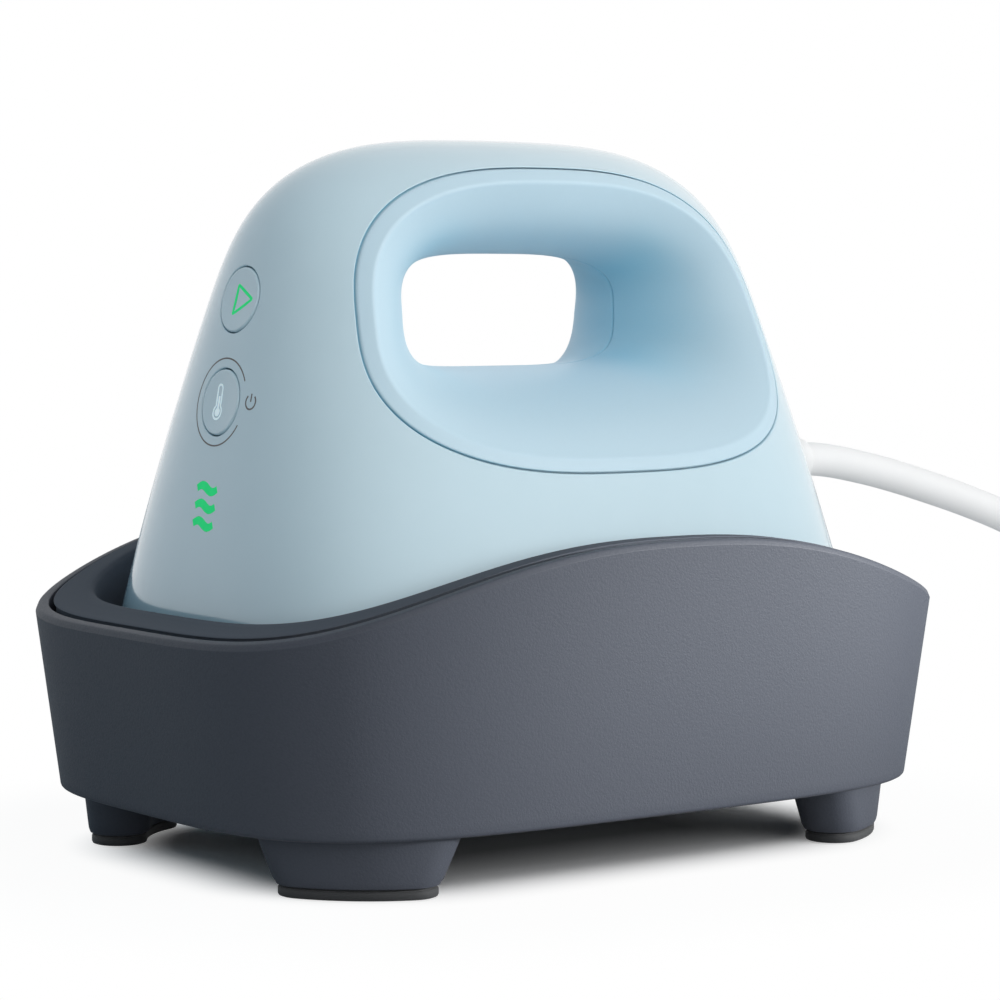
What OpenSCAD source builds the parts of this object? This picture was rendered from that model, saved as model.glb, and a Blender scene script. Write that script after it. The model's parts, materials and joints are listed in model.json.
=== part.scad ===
// Cap heat press resting in its safety base.
// Millimetres, +Z up, origin on the floor under the middle of the base.
// The controls face -Y, the lead leaves at +Y, and the press lifts straight up out of the base.

/* [Press housing] */
// Length of the housing at its foot
shell_foot_l = 148.6; // [140:0.2:180]
// Width of the housing at its foot
shell_foot_w = 122.6; // [114:0.2:148]
// Length of the housing at its shoulder
shell_shoulder_l = 122.8; // [114:0.2:148]
// Width of the housing at its shoulder
shell_shoulder_w = 77.8; // [70:0.2:94]
// Height of the top of the press above the floor
press_top = 147.2; // [145:0.2:180]
// Wall of the housing
shell_wall = 2.4; // [1.8:0.1:3]
// Squareness of the housing's plan at its foot
shell_foot_power = 3.7; // [3:0.1:4.5]
// Squareness of the housing's plan at its crown
shell_crown_power = 1.9; // [1.8:0.1:2.4]

/* [Grips] */
// Height of a grip insert
grip_h = 61; // [54:0.5:64]
// Length of a grip insert at half its height
grip_l = 102.4; // [94:0.2:108]
// Width of the flush border round the dish
grip_border = 3.6; // [2.5:0.1:5]
// Thickness of a grip insert
grip_t = 2.2; // [1.8:0.1:2.8]
// Gap between a grip insert and the housing
grip_gap = 0.3; // [0.2:0.05:0.5]
// Length of the hand hole at its waist
hole_l = 64; // [56:0.5:68]
// Height of the hand hole at its waist
hole_h = 23.6; // [21:0.2:26]

/* [Controls] */
// Diameter of each round button
button_d = 13.4; // [11:0.1:16]
// Travel of each button
button_travel = 1; // [0.6:0.1:1.4]
// Gap between a button and its hole
button_gap = 0.25; // [0.15:0.05:0.4]
// Length of each wave light
wave_l = 7.4; // [6:0.1:9]
// Thickness of the stroke of a wave light
wave_stroke = 1.45; // [1:0.05:1.8]

/* [Heating] */
// Radius of the pressing face
sole_r = 165; // [140:1:200]
// Height of the middle of the pressing face above the floor
sole_mid_z = 44; // [42:0.5:48]
// Length of the heat plate
plate_l = 132; // [120:0.5:134]
// Width of the heat plate
plate_w = 92; // [84:0.5:96]
// Thickness of the heat plate
plate_t = 6; // [5:0.5:7]
// Diameter of the sheathed heating element
element_d = 6.5; // [5:0.1:7]

/* [Base] */
// Room between the housing's foot and the base's bottom edge at the two ends
base_end_margin = 10.7; // [9:0.1:16]
// Room between the housing's foot and the base's bottom edge at the sides
base_side_margin = 1.2; // [1:0.1:8]
// Outward lean of the base wall in degrees
base_draft = 6.7; // [5:0.1:9]
// Squareness of the base's plan
base_power = 3.9; // [3.3:0.1:4.5]
// Wall of the base shell
base_wall = 2.6; // [2:0.1:3]
// Height of the base's underside above the floor
foot_h = 12; // [10:0.5:14]
// Height that the rim's wave falls towards at the two ends
rim_low = 46.9; // [45:0.1:52]
// Height of the rim at the middle of the long sides
rim_high = 67; // [62:0.5:70]
// Thickness of the tray
tray_t = 2; // [1.6:0.1:2.4]
// Room between the housing's lower edge and the tray wall
tray_clear = 1.8; // [1.2:0.1:3]

/* [Power lead] */
// Diameter of the lead
cord_d = 7.6; // [6.4:0.1:9.2]
// Height of the lead's exit above the floor
exit_z = 77.2; // [76:0.1:79]
// Turns in each of the coil's two layers
coil_turns = 2.5; // [1.5:1:3.5]
// Middle radius of the innermost turn
coil_inner_r = 34; // [32:0.5:44]

/* [Hidden] */
$fn = 48;

// Points round each lofted ring of the base and the housing, and of a grip
seg = 72;
grip_seg = 60;
// Small gaps: between fitted pieces, and between pieces that move past each other
fit = 0.15;
run = 0.3;
// Overlap that joins two shapes of one piece
weld = 0.6;

// Heights that hang from the top of the press
foot_z = 35;
shoulder_z = press_top - 32.2;
crown_start_l = press_top - 31;
crown_start_w = press_top - 38.3;
crown_power_l = 3.37;
crown_power_w = 2.6;
side_bulge_l = 1.6;
side_bulge_w = 0.2;
grip_z = press_top - 37;
hole_y = 1.5;
hole_z = press_top - 35.5;
go_z = press_top - 33.1;
temperature_z = press_top - 53.6;
wave_z = press_top - 74.4;
wave_pitch = 3.53;

// Arch that the sole, the skirt, the housing's edge and the tray's saddle share
arch_c = sole_mid_z - sole_r;
edge_r = sole_r + 3;
skirt_low_r = edge_r + 0.4;
plate_top_r = sole_r + plate_t;
ledge_r = plate_top_r + 0.5;
skirt_top_r = ledge_r + 4.5;
rest_pad_t = 1.4;
pad_top_r = sole_r - run;
saddle_r = pad_top_r - rest_pad_t - fit;
element_r = plate_top_r + element_d / 2 + run;
pad_low_r = element_r + element_d / 2 + run;
insulation_t = 3;
shield_low_r = pad_low_r + insulation_t + run;
shield_t = 0.8;

// Plan of the base, tied to the housing's foot
base_hl = shell_foot_l / 2 + base_end_margin;
base_hw = shell_foot_w / 2 + base_side_margin;
floor_t = 2.5;
floor_z = foot_h + floor_t;
lip_w = 2.6;
lip_gap = 0.8;
// Rounding at the base's bottom edge and at its lip, and the slope between its wall and its floor
bottom_round = 1.5;
lip_round = 1.2;
floor_ease = 2;
wave_reach = 1.18;
wave_ease = 1.25;

// Feet: an arc with round ends under each corner, whose ends flare more than its faces
foot_in_x = 41;
foot_in_y = 41.8;
foot_mid_r = 30;
foot_turn = 41;
foot_span = 38;
foot_half_t = 6.3;
foot_draft = 6.5;
foot_end_draft = 23.5;
foot_chamfer = 0.5;
pad_inset = 0.5;
pad_neck = 0.7;
pad_h = 1.8;
pad_groove = 0.4;

function signed_power(c, e) = sign(c) * pow(abs(c), e);
function plan(hx, hy, n, t) = [hx * signed_power(cos(t), 2 / n), hy * signed_power(sin(t), 2 / n)];
function mix(a, b, u) = a + (b - a) * u;
function arch_z(r, y) = arch_c + sqrt(r * r - y * y);

// Half sizes and squareness of the housing at a height, drawn in by a wall
function lean(z, foot, shoulder, bulge) =
    let (u = (z - foot_z) / (shoulder_z - foot_z))
    mix(foot, shoulder, u) / 2 + 4 * bulge * u * (1 - u);
function crown(z, start, top, power) =
    z <= start ? 1 : pow(max(0, 1 - pow((z - start) / (top - start), power)), 1 / power);
function shell_hl(z, inset = 0) =
    (lean(z, shell_foot_l, shell_shoulder_l, side_bulge_l) - inset)
    * crown(z, crown_start_l, press_top - inset, crown_power_l);
function shell_hw(z, inset = 0) =
    (lean(z, shell_foot_w, shell_shoulder_w, side_bulge_w) - inset)
    * crown(z, crown_start_w, press_top - inset, crown_power_w);
function shell_n(z) = mix(shell_foot_power, shell_crown_power, (z - foot_z) / (press_top - foot_z));
function shell_x(y, z) =
    shell_hw(z) * pow(max(0, 1 - pow(abs(y) / shell_hl(z), shell_n(z))), 1 / shell_n(z));
function shell_y(x, z, inset) =
    shell_hl(z, inset) * pow(max(0, 1 - pow(abs(x) / shell_hw(z, inset), shell_n(z))), 1 / shell_n(z));
function shell_lean(z) = atan(shell_hl(z - 0.5) - shell_hl(z + 0.5));

// Height of the housing's arched lower edge at a plan angle
function edge_z(t, inset, z = 40, pass = 6) =
    pass == 0 ? z
    : edge_z(t, inset, arch_z(edge_r, shell_hl(z, inset) * pow(abs(sin(t)), 2 / shell_n(z))), pass - 1);
function shell_ring(rise, inset) = [
    for (i = [0:seg - 1])
    let (t = 360 * i / seg, low = edge_z(t, inset), z = mix(low, press_top - inset, rise))
    let (p = plan(shell_hw(z, inset), shell_hl(z, inset), shell_n(z), t))
    [p[0], p[1], z]
];

// Rim height of the base, from the share of the half length, so that it is level from side to side
function rim_z(s) =
    mix(rim_low, rim_high, (1 + cos(180 * pow(min(1, abs(s) / wave_reach), wave_ease))) / 2);
function base_grow(z) = (z - foot_h) * tan(base_draft);
function rim_share(t) = signed_power(sin(t), 2 / base_power);
function rim_hl(t) = base_hl + base_grow(rim_z(rim_share(t)));
function base_ring(rise, inset, dz = 0) = [
    for (i = [0:seg - 1])
    let (t = 360 * i / seg, rim = rim_z(rim_share(t) * (1 - inset / rim_hl(t))))
    let (z = mix(foot_h, rim, rise) + dz, g = base_grow(z) - inset)
    let (p = plan(base_hw + g, base_hl + g, base_power, t))
    [p[0], p[1], z]
];

// Tray: across is 0 at the base lip and 1 at the inner wall
tray_hw = shell_hw(arch_z(edge_r, 0)) + tray_clear;
tray_hl = shell_hl(arch_z(edge_r, shell_foot_l / 2)) + tray_clear;
// Squareness of the tray's plan: the least that clears the housing's lower edge at the corners
tray_corner_clear = 0.12;
function edge_point(t) =
    let (z = edge_z(t, 0))
    plan(shell_hw(z), shell_hl(z), shell_n(z), t) + [tray_corner_clear, tray_corner_clear];
function tray_holds(n) =
    max([for (t = [0:2:90]) let (p = edge_point(t)) pow(p[0] / tray_hw, n) + pow(p[1] / tray_hl, n)]) <= 1;
tray_power = [for (n = [shell_foot_power:0.1:9]) if (tray_holds(n)) n][0];
function tray_ring(across, grow, dz) = [
    for (i = [0:seg - 1])
    let (t = 360 * i / seg, n = mix(base_power, tray_power, across))
    let (out = base_grow(rim_z(rim_share(t))) - lip_w - lip_gap)
    let (hw = mix(base_hw + out, tray_hw, across) + grow, hl = mix(base_hl + out, tray_hl, across) + grow)
    let (p = plan(hw, hl, n, t))
    [p[0], p[1], rim_z(p[1] / rim_hl(t)) + dz]
];
// The saddle follows the arch, and levels out where the arch would reach the base's sloped floor edge
function saddle_z(r, y) = max(arch_z(r, y), floor_z + floor_ease + run + r - saddle_r + tray_t);
function saddle_ring(share, grow, r, dz = 0) = [
    for (i = [0:seg - 1])
    let (p = share * plan(tray_hw + grow, tray_hl + grow, tray_power, 360 * i / seg))
    [p[0], p[1], saddle_z(r, p[1]) + dz]
];

// Closed skin over rings that climb outside and come down inside; with two poles it is capped,
// and without poles the last ring joins the first
module skin(rings, poles = []) {
    n = len(rings[0]);
    m = len(rings);
    capped = len(poles) == 2;
    last = capped ? m - 2 : m - 1;
    sides = [
        for (r = [0:last], i = [0:n - 1])
        let (a = r * n + i, b = r * n + (i + 1) % n, u = ((r + 1) % m) * n)
        each [[a, u + i, u + (i + 1) % n], [a, u + (i + 1) % n, b]]
    ];
    caps = capped ? [
        for (i = [0:n - 1])
        each [[(i + 1) % n, m * n, i], [(m - 1) * n + i, m * n + 1, (m - 1) * n + (i + 1) % n]]
    ] : [];
    polyhedron(points = concat([for (r = rings) each r], poles), faces = concat(sides, caps), convexity = 8);
}

// Triangles for a shape cut from skins
module meshed() {
    resize([0, 0, 0]) children();
}

// Slice between two radii of the arch, as wide as the press
module arch_slice(low, high) {
    translate([0, 0, arch_c])
    rotate([0, 90, 0])
    difference() {
        cylinder(h = 2 * base_hw, r = high, center = true, $fn = 180);
        cylinder(h = 2 * base_hw + 2, r = low, center = true, $fn = 180);
    }
}

// Rectangle with round corners, from exact circles and squares
module round_plan(w, l, r) {
    square([w - 2 * r, l], center = true);
    square([w, l - 2 * r], center = true);
    for (x = [-1, 1], y = [-1, 1])
        translate([x * (w / 2 - r), y * (l / 2 - r)]) circle(r);
}
module upright(w, l, r, h = 120) {
    linear_extrude(h) round_plan(w, l, r);
}
module corners(x, y) {
    for (i = [-1, 1], j = [-1, 1])
        translate([i * x, j * y, 0]) children();
}

// Frame on the front face at a height: local Z points out, local Y up the face
module on_front(z) {
    translate([0, -shell_hl(z), z]) rotate([90 - shell_lean(z), 0, 0]) children();
}
// Frame on the rear face at the lead's exit: local Z points back
module on_exit() {
    translate([0, shell_hl(exit_z), exit_z]) rotate([-90, 0, 0]) children();
}

// Round tube swept along points, with the ends square to the first and last run
function unit(v) = v / norm(v);
function run_dir(p, i) = unit(p[min(i + 1, len(p) - 1)] - p[max(i - 1, 0)]);
function tube_ring(p, i, r, sides) =
    let (d = run_dir(p, i), side = unit(abs(d[2]) > 0.9 ? cross(d, [1, 0, 0]) : cross(d, [0, 0, 1])))
    let (up = cross(d, side))
    [for (k = [0:sides - 1]) p[i] + r * (cos(360 * k / sides) * side + sin(360 * k / sides) * up)];
module tube(p, d, sides) {
    skin([for (i = [0:len(p) - 1]) tube_ring(p, i, d / 2, sides)], [p[0], p[len(p) - 1]]);
}

// Cross-recessed pan screw, head up, shank down
module screw(head_d, head_h, shank_d, shank_l) {
    difference() {
        union() {
            cylinder(h = head_h, d = head_d);
            translate([0, 0, -shank_l]) cylinder(h = shank_l, d = shank_d);
        }
        for (a = [0, 90])
            rotate(a) translate([0, 0, head_h]) cube([head_d * 0.55, head_d * 0.14, head_h], center = true);
    }
}

// Outline of an arc with round ends in the floor's plane, at a half width from its middle line
function foot_outline(half, span = foot_span) = concat(
    [for (i = [0:8]) let (a = span * (i / 8 - 0.5)) (foot_mid_r + half) * [cos(a), sin(a)]],
    [
        for (i = [1:8])
        let (a = span / 2 + 180 * i / 9)
        foot_mid_r * [cos(span / 2), sin(span / 2)] + half * [cos(a), sin(a)]
    ],
    [for (i = [0:8]) let (a = span * (0.5 - i / 8)) (foot_mid_r - half) * [cos(a), sin(a)]],
    [
        for (i = [1:8])
        let (a = 180 - span / 2 + 180 * i / 9)
        foot_mid_r * [cos(span / 2), -sin(span / 2)] + half * [cos(a), sin(a)]
    ]
);
function foot_ring(z, half, span) = [for (p = foot_outline(half, span)) [p[0], p[1], z]];
// Ring of a foot at a rise above its bottom face
function foot_at(rise) =
    let (half = foot_half_t + rise * tan(foot_draft))
    let (longer = rise * (tan(foot_end_draft) - tan(foot_draft)))
    foot_ring(pad_h + pad_groove + rise, half, foot_span + 2 * longer / foot_mid_r * 180 / PI);
module at_feet() {
    for (i = [0, 1], j = [0, 1])
        mirror([i, 0, 0]) mirror([0, j, 0])
        translate([base_hw - foot_in_x, base_hl - foot_in_y, 0]) rotate(foot_turn) children();
}

// Base

tray_screw_x = 30;
tray_screw_y = 30;
tray_screw_d = 3;
tray_screw_l = 11;
tray_screw_head_h = 0.8;
tray_screw_seat = 1;
tray_post_d = 8;
// How far a tray post runs up into the tray's floor
post_sink = 0.8;

module base_shell() {
    foot_low = pad_h + pad_groove;
    foot_rise = foot_h + weld - foot_low;
    color("#4a4e58")
    meshed()
    difference() {
        union() {
            skin([
                base_ring(0, bottom_round), base_ring(0, 0.3 * bottom_round, 0.3 * bottom_round),
                base_ring(0, 0, bottom_round), base_ring(0.4, 0), base_ring(0.75, 0),
                base_ring(1, 0, -lip_round), base_ring(1, 0.3 * lip_round, -0.3 * lip_round),
                base_ring(1, lip_round), base_ring(1, lip_w),
                base_ring(0.75, base_wall), base_ring(0.4, base_wall),
                base_ring(0, base_wall, floor_t + floor_ease), base_ring(0, base_wall + floor_ease, floor_t)
            ], [[0, 0, foot_h], [0, 0, floor_z]]);
            at_feet() skin([
                foot_ring(foot_low, foot_half_t - foot_chamfer, foot_span),
                foot_at(foot_chamfer), foot_at(foot_rise)
            ], [[foot_mid_r, 0, foot_low], [foot_mid_r, 0, foot_low + foot_rise]]);
        }
        corners(tray_screw_x, tray_screw_y) {
            cylinder(h = floor_z + 1, d = tray_screw_d + 2 * fit, $fn = 20);
            cylinder(h = foot_h + tray_screw_seat, d = 2 * tray_screw_d + 1, $fn = 20);
        }
    }
}

module base_tray() {
    post_top = arch_z(saddle_r - tray_t, tray_screw_y) + post_sink;
    color("#3a3d43")
    meshed()
    difference() {
        union() {
            skin([
                saddle_ring(0.3, 0, saddle_r - tray_t), saddle_ring(0.6, 0, saddle_r - tray_t),
                saddle_ring(0.86, tray_t, saddle_r - tray_t),
                saddle_ring(0.99, tray_t, saddle_r - tray_t, 1),
                saddle_ring(1, tray_t, saddle_r, 3), tray_ring(1, tray_t, -8), tray_ring(0.6, 0, -2.4),
                tray_ring(0.35, 0, -2.2), tray_ring(0, -tray_t, -2.6), tray_ring(0, -tray_t, -6),
                tray_ring(0, 0, -6), tray_ring(0, 0, -1), tray_ring(0.07, 0, -0.3),
                tray_ring(0.2, 0, 0.05), tray_ring(0.45, 0, 0.35), tray_ring(0.68, 0, 0.5),
                tray_ring(0.82, 0, 0.2), tray_ring(0.91, 0, -1),
                tray_ring(0.97, 0, -4.5), tray_ring(1, 0, -13), saddle_ring(1, 0, saddle_r, 3),
                saddle_ring(0.975, 0, saddle_r, 0.6), saddle_ring(0.86, 0, saddle_r),
                saddle_ring(0.6, 0, saddle_r), saddle_ring(0.3, 0, saddle_r)
            ], [[0, 0, arch_z(saddle_r - tray_t, 0)], [0, 0, arch_z(saddle_r, 0)]]);
            corners(tray_screw_x, tray_screw_y)
                translate([0, 0, floor_z + fit])
                cylinder(h = post_top - floor_z - fit, d = tray_post_d, $fn = 24);
        }
        corners(tray_screw_x, tray_screw_y)
            cylinder(h = foot_h + tray_screw_l + 4, d = tray_screw_d + 2 * fit, $fn = 20);
    }
}

module foot_pads() {
    color("#2b2d31")
    at_feet() {
        linear_extrude(pad_h) polygon(foot_outline(foot_half_t - pad_inset));
        linear_extrude(pad_h + pad_groove - fit / 3) polygon(foot_outline(foot_half_t - pad_inset - pad_neck));
    }
}

rest_pad_w = 14;
rest_pad_l = 26;
rest_pad_x = 30;
rest_pad_y = 40;
rest_pad_corner = 4;

module rest_pads() {
    color("#7d3b34")
    intersection() {
        arch_slice(pad_top_r - rest_pad_t, pad_top_r);
        corners(rest_pad_x, rest_pad_y) upright(rest_pad_w, rest_pad_l, rest_pad_corner);
    }
}

module tray_screws() {
    color("silver")
    corners(tray_screw_x, tray_screw_y)
    translate([0, 0, foot_h + tray_screw_seat - fit])
    mirror([0, 0, 1]) screw(2 * tray_screw_d, tray_screw_head_h, tray_screw_d, tray_screw_l);
}

// Press housing

housing_screw_x = 38;
housing_screw_y = 47;
housing_screw_d = 3;
housing_screw_l = 11;
housing_screw_head_h = 1.8;
// Thickness of the skirt left above a housing screw's head
screw_floor = 2.2;
boss_d = 7;
boss_top = grip_z - grip_h / 2 + 6;
boss_low = arch_z(skirt_top_r, housing_screw_y - boss_d / 2) + fit;
rises = [0.08, 0.22, 0.36, 0.5, 0.62, 0.72, 0.8, 0.86, 0.91, 0.945, 0.97, 0.988, 0.997];
inner_rises = [0.1, 0.3, 0.5, 0.66, 0.78, 0.87, 0.93, 0.97, 0.993];

function grip_outline(inset, n = grip_seg) = [
    for (i = [0:n - 1])
    let (t = 360 * i / n, z = grip_z + (grip_h / 2 - inset) * signed_power(sin(t), grip_roundness))
    [(grip_l / 2 - inset - grip_taper * (z - grip_z)) * signed_power(cos(t), grip_roundness), z]
];
grip_roundness = 2 / 2.8;
grip_taper = 0.134;

// One wave stroke on the front face, square-ended, centred on the local origin
wave_rise = 0.62;
wave_steps = 16;
function wave_point(x, side) =
    let (a = -360 * x / wave_l, d = unit([1, -wave_rise * 2 * PI / wave_l * cos(a)]))
    [x, wave_rise * sin(a)] + side * [-d[1], d[0]];
module wave_stroke_shape(grow) {
    half = wave_stroke / 2 + grow;
    xs = [for (i = [0:wave_steps]) (wave_l + 2 * grow) * (i / wave_steps - 0.5)];
    polygon(concat(
        [for (x = xs) wave_point(x, half)],
        [for (i = [wave_steps:-1:0]) wave_point(xs[i], -half)]
    ));
}
module waves(grow, z0, z1) {
    for (k = [-1:1])
        on_front(wave_z + k * wave_pitch)
        translate([0, 0, z0]) linear_extrude(z1 - z0) wave_stroke_shape(grow);
}

module outer_shell() {
    window = grip_outline(-grip_gap);
    relief_hole_d = relief_d + 2 * fit;
    color("#c4dbe5")
    meshed()
    difference() {
        skin(concat([shell_ring(0, 0)], [for (r = rises) shell_ring(r, 0)]), [
            [0, 0, arch_z(edge_r, 0)], [0, 0, press_top]
        ]);
        difference() {
            skin(concat(
                [[for (p = shell_ring(0, shell_wall)) p - [0, 0, 20]]],
                [shell_ring(0, shell_wall)], [for (r = inner_rises) shell_ring(r, shell_wall)]
            ), [[0, 0, arch_z(edge_r, 0) - 20], [0, 0, press_top - shell_wall]]);
            corners(housing_screw_x, housing_screw_y)
                translate([0, 0, boss_low]) cylinder(h = boss_top - boss_low, d = boss_d, $fn = 24);
            at_posts() translate([0, 0, fit]) cylinder(h = panel_depth - 0.8, d = post_d, $fn = 20);
        }
        at_posts() translate([0, 0, -1]) cylinder(h = 8, d = post_hole_d, $fn = 16);
        corners(housing_screw_x, housing_screw_y)
            cylinder(h = boss_low + housing_screw_l + 1, d = housing_screw_d + fit, $fn = 20);
        rotate([90, 0, 90]) linear_extrude(shell_foot_w, center = true) polygon(window);
        for (z = [go_z, temperature_z])
            on_front(z) cylinder(h = 20, d = button_d + 2 * button_gap, center = true, $fn = 40);
        waves(0.1, -8, 3);
        on_exit() cylinder(h = 16, d = relief_hole_d, center = true, $fn = 32);
    }
}

// Grip inserts

dish_step = 0.7;
dish_curve = 2;
dish_turn = 10;
dish_share = 0.66;
dish_stops = [1, 0.985, 0.95, 0.88, 0.76, 0.58, 0.34, 0.14, 0];
hole_power = 3.2;
hole_outline = [
    for (i = [0:grip_seg - 1])
    [hole_y, hole_z] + plan(hole_l / 2, hole_h / 2, hole_power, 360 * i / grip_seg)
];
function dish_flare(s) = dish_share * pow(s, dish_curve) + (1 - dish_share) * pow(s, dish_turn);
function dish_slope(s) =
    dish_share * dish_curve * pow(s, dish_curve - 1) + (1 - dish_share) * dish_turn * pow(s, dish_turn - 1);
function border_ring(inset, sink) =
    [for (p = grip_outline(inset)) [shell_x(p[0], p[1]) - sink, p[0], p[1]]];
// Ring of the dish at a share of the depth, moved back into the body by a thickness
function dish_ring(s, back) =
    let (rim = grip_outline(grip_border))
    [
        for (i = [0:grip_seg - 1])
        let (out = rim[i] - hole_outline[i], deep = shell_x(rim[i][0], rim[i][1]) - dish_step)
        let (slope = norm(out) * dish_slope(s), len = norm([slope, deep]))
        let (p = hole_outline[i] + out * dish_flare(s) + unit(out) * back * deep / len)
        [max(fit / 2, deep * s - back * slope / len), p[0], p[1]]
    ];

module grip() {
    front = [for (i = [len(dish_stops) - 1:-1:0]) dish_ring(dish_stops[i], 0)];
    back = [for (s = dish_stops) dish_ring(s, grip_t)];
    color("#b6d0de")
    meshed()
    skin(concat(back, front, [border_ring(grip_border, 0), border_ring(0.3, 0), border_ring(0, 0.3)],
        [border_ring(0, grip_t + dish_step)]));
}
module right_grip() {
    grip();
}
module left_grip() {
    mirror([1, 0, 0]) grip();
}

// Heating stack

plate_corner_r = 20;
stud_x = 38;
stud_y = 20;
stud_d = 4;
nut_w = 7;
nut_h = 3.2;
skirt_hw = shell_hw(arch_z(skirt_top_r, 0), shell_wall) - fit;
skirt_hl = shell_hl(arch_z(skirt_top_r, shell_foot_l / 2 - 4), shell_wall) - 0.4;
ledge_w = 28;
ledge_l = 12;
ledge_corner_r = 14;
// Room round the heat plate, a stud and a housing screw in the skirt
plate_room = 1;
stud_room = 0.3;
screw_room = 0.2;
head_room = 0.4;

module lower_skirt() {
    outline = [for (i = [0:95]) plan(skirt_hw, skirt_hl, shell_foot_power - 0.2, 360 * i / 96)];
    color("#5b6068")
    difference() {
        intersection() {
            arch_slice(skirt_low_r, skirt_top_r);
            linear_extrude(120) polygon(outline);
        }
        intersection() {
            arch_slice(sole_r - 10, ledge_r);
            upright(plate_w + 2 * plate_room, plate_l + 2 * plate_room, plate_corner_r + plate_room);
        }
        upright(plate_w - ledge_w, plate_l - ledge_l, ledge_corner_r);
        corners(stud_x, stud_y) cylinder(h = 120, d = stud_d + 2 * stud_room);
        corners(housing_screw_x, housing_screw_y) {
            cylinder(h = 120, d = housing_screw_d + 2 * screw_room);
            cylinder(
                h = arch_z(skirt_top_r, housing_screw_y) - screw_floor, d = 2 * (housing_screw_d + head_room)
            );
        }
    }
}

module housing_screws() {
    seat = arch_z(skirt_top_r, housing_screw_y) - screw_floor - fit;
    color("silver")
    corners(housing_screw_x, housing_screw_y)
    translate([0, 0, seat])
    mirror([0, 0, 1]) screw(2 * housing_screw_d, housing_screw_head_h, housing_screw_d - 0.1, housing_screw_l);
}

module heat_plate() {
    color("#55585c")
    union() {
        intersection() {
            arch_slice(sole_r, plate_top_r);
            upright(plate_w, plate_l, plate_corner_r);
        }
        corners(stud_x, stud_y)
            translate([0, 0, arch_z(plate_top_r, stud_y) - 2])
            cylinder(h = skirt_top_r - plate_top_r + nut_h + 3.5, d = stud_d);
    }
}

module plate_nuts() {
    seat = arch_z(skirt_top_r, stud_y - nut_w / 2) + fit;
    color("silver")
    corners(stud_x, stud_y)
    translate([0, 0, seat])
    difference() {
        cylinder(h = nut_h, d = nut_w / cos(30), $fn = 6);
        translate([0, 0, -1]) cylinder(h = nut_h + 2, d = stud_d + 0.1);
    }
}

element_x = 24;
element_front_y = 30;
element_rear_y = 44;
pin_d = 3;
pin_h = 13;

// Two runs along the arch joined by a half turn at the front
element_ys = [for (i = [0:7]) mix(element_rear_y, -element_front_y, i / 8)];
element_plan = concat(
    [for (y = element_ys) [-element_x, y]],
    [for (i = [0:12]) [-element_x * cos(15 * i), -element_front_y - element_x * sin(15 * i)]],
    [for (i = [7:-1:0]) [element_x, element_ys[i]]]
);
module heating_element() {
    pin_y = element_rear_y - 2.5;
    color("#8a8d90")
    meshed()
    union() {
        tube([for (p = element_plan) [p[0], p[1], arch_z(element_r, p[1])]], element_d, 12);
        for (x = [-element_x, element_x])
            translate([x, pin_y, arch_z(element_r, pin_y)]) cylinder(h = pin_h, d = pin_d, $fn = 20);
    }
}

pad_front_y = 56;
pad_rear_y = 34;
pad_half_w = 30;

module insulation_pad() {
    color("#e8e3d3")
    intersection() {
        arch_slice(pad_low_r, pad_low_r + insulation_t);
        translate([-pad_half_w, -pad_front_y, 0]) cube([2 * pad_half_w, pad_front_y + pad_rear_y, 120]);
    }
}
module heat_shield() {
    color("silver")
    intersection() {
        arch_slice(shield_low_r, shield_low_r + shield_t);
        translate([-pad_half_w, -pad_front_y, 0]) cube([2 * pad_half_w, pad_front_y + pad_rear_y, 120]);
    }
}

// Frame on top of the plate at a distance from the middle: local Z points away from the arch
module on_plate(y) {
    translate([0, y, arch_z(plate_top_r, y)]) rotate([-asin(y / plate_top_r), 0, 0]) children();
}
sensor_y = 46;
sensor_d = 4;
sensor_l = 9;
saddle_clip = [4, 8, 2.6];
fuse_y = 54;
fuse_d = 4.2;
fuse_l = 15;
fuse_lead_d = 1.2;
fuse_lead_l = 26;
// Height of a piece laid on the curved plate above the plate's tangent
laid = 0.2;
module temperature_sensor() {
    color("#c9b48a")
    on_plate(sensor_y)
    union() {
        translate([0, 0, sensor_d / 2 + laid])
            rotate([0, 90, 0]) cylinder(h = sensor_l, d = sensor_d, center = true);
        translate([-saddle_clip[0] / 2, -saddle_clip[1] / 2, laid]) cube(saddle_clip);
    }
}
module thermal_fuse() {
    color("#d8d4c6")
    on_plate(fuse_y)
    translate([0, 0, fuse_d / 2 + laid])
    rotate([0, 90, 0])
    union() {
        cylinder(h = fuse_l, d = fuse_d, center = true);
        cylinder(h = fuse_lead_l, d = fuse_lead_d, center = true);
    }
}

// Electronics

carrier_z = 70;
carrier_t = 2;
carrier_w = 82;
carrier_front_y = 40;
carrier_rear_y = 42;
leg_x = 38;
leg_y = 32;
leg_w = 6;
leg_z = arch_z(skirt_top_r, leg_y - leg_w / 2) + fit;
standoff_h = 3;
standoff_d = 6;
standoff_hole_d = 2.2;
board_z = carrier_z + carrier_t + standoff_h;
board_t = 1.6;
board_w = 60;
board_l = 74;
board_y = -1;
board_hole_x = 26;
board_hole_y = 33;
clamp_y = 52;
clamp_x = 9;
clamp_w = 8;
clamp_block_w = 10;
clamp_boss_d = 6;
clamp_screw_d = 2.4;
clamp_neck_w = 30;
clamp_seat_z = exit_z - cord_d / 2;

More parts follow.
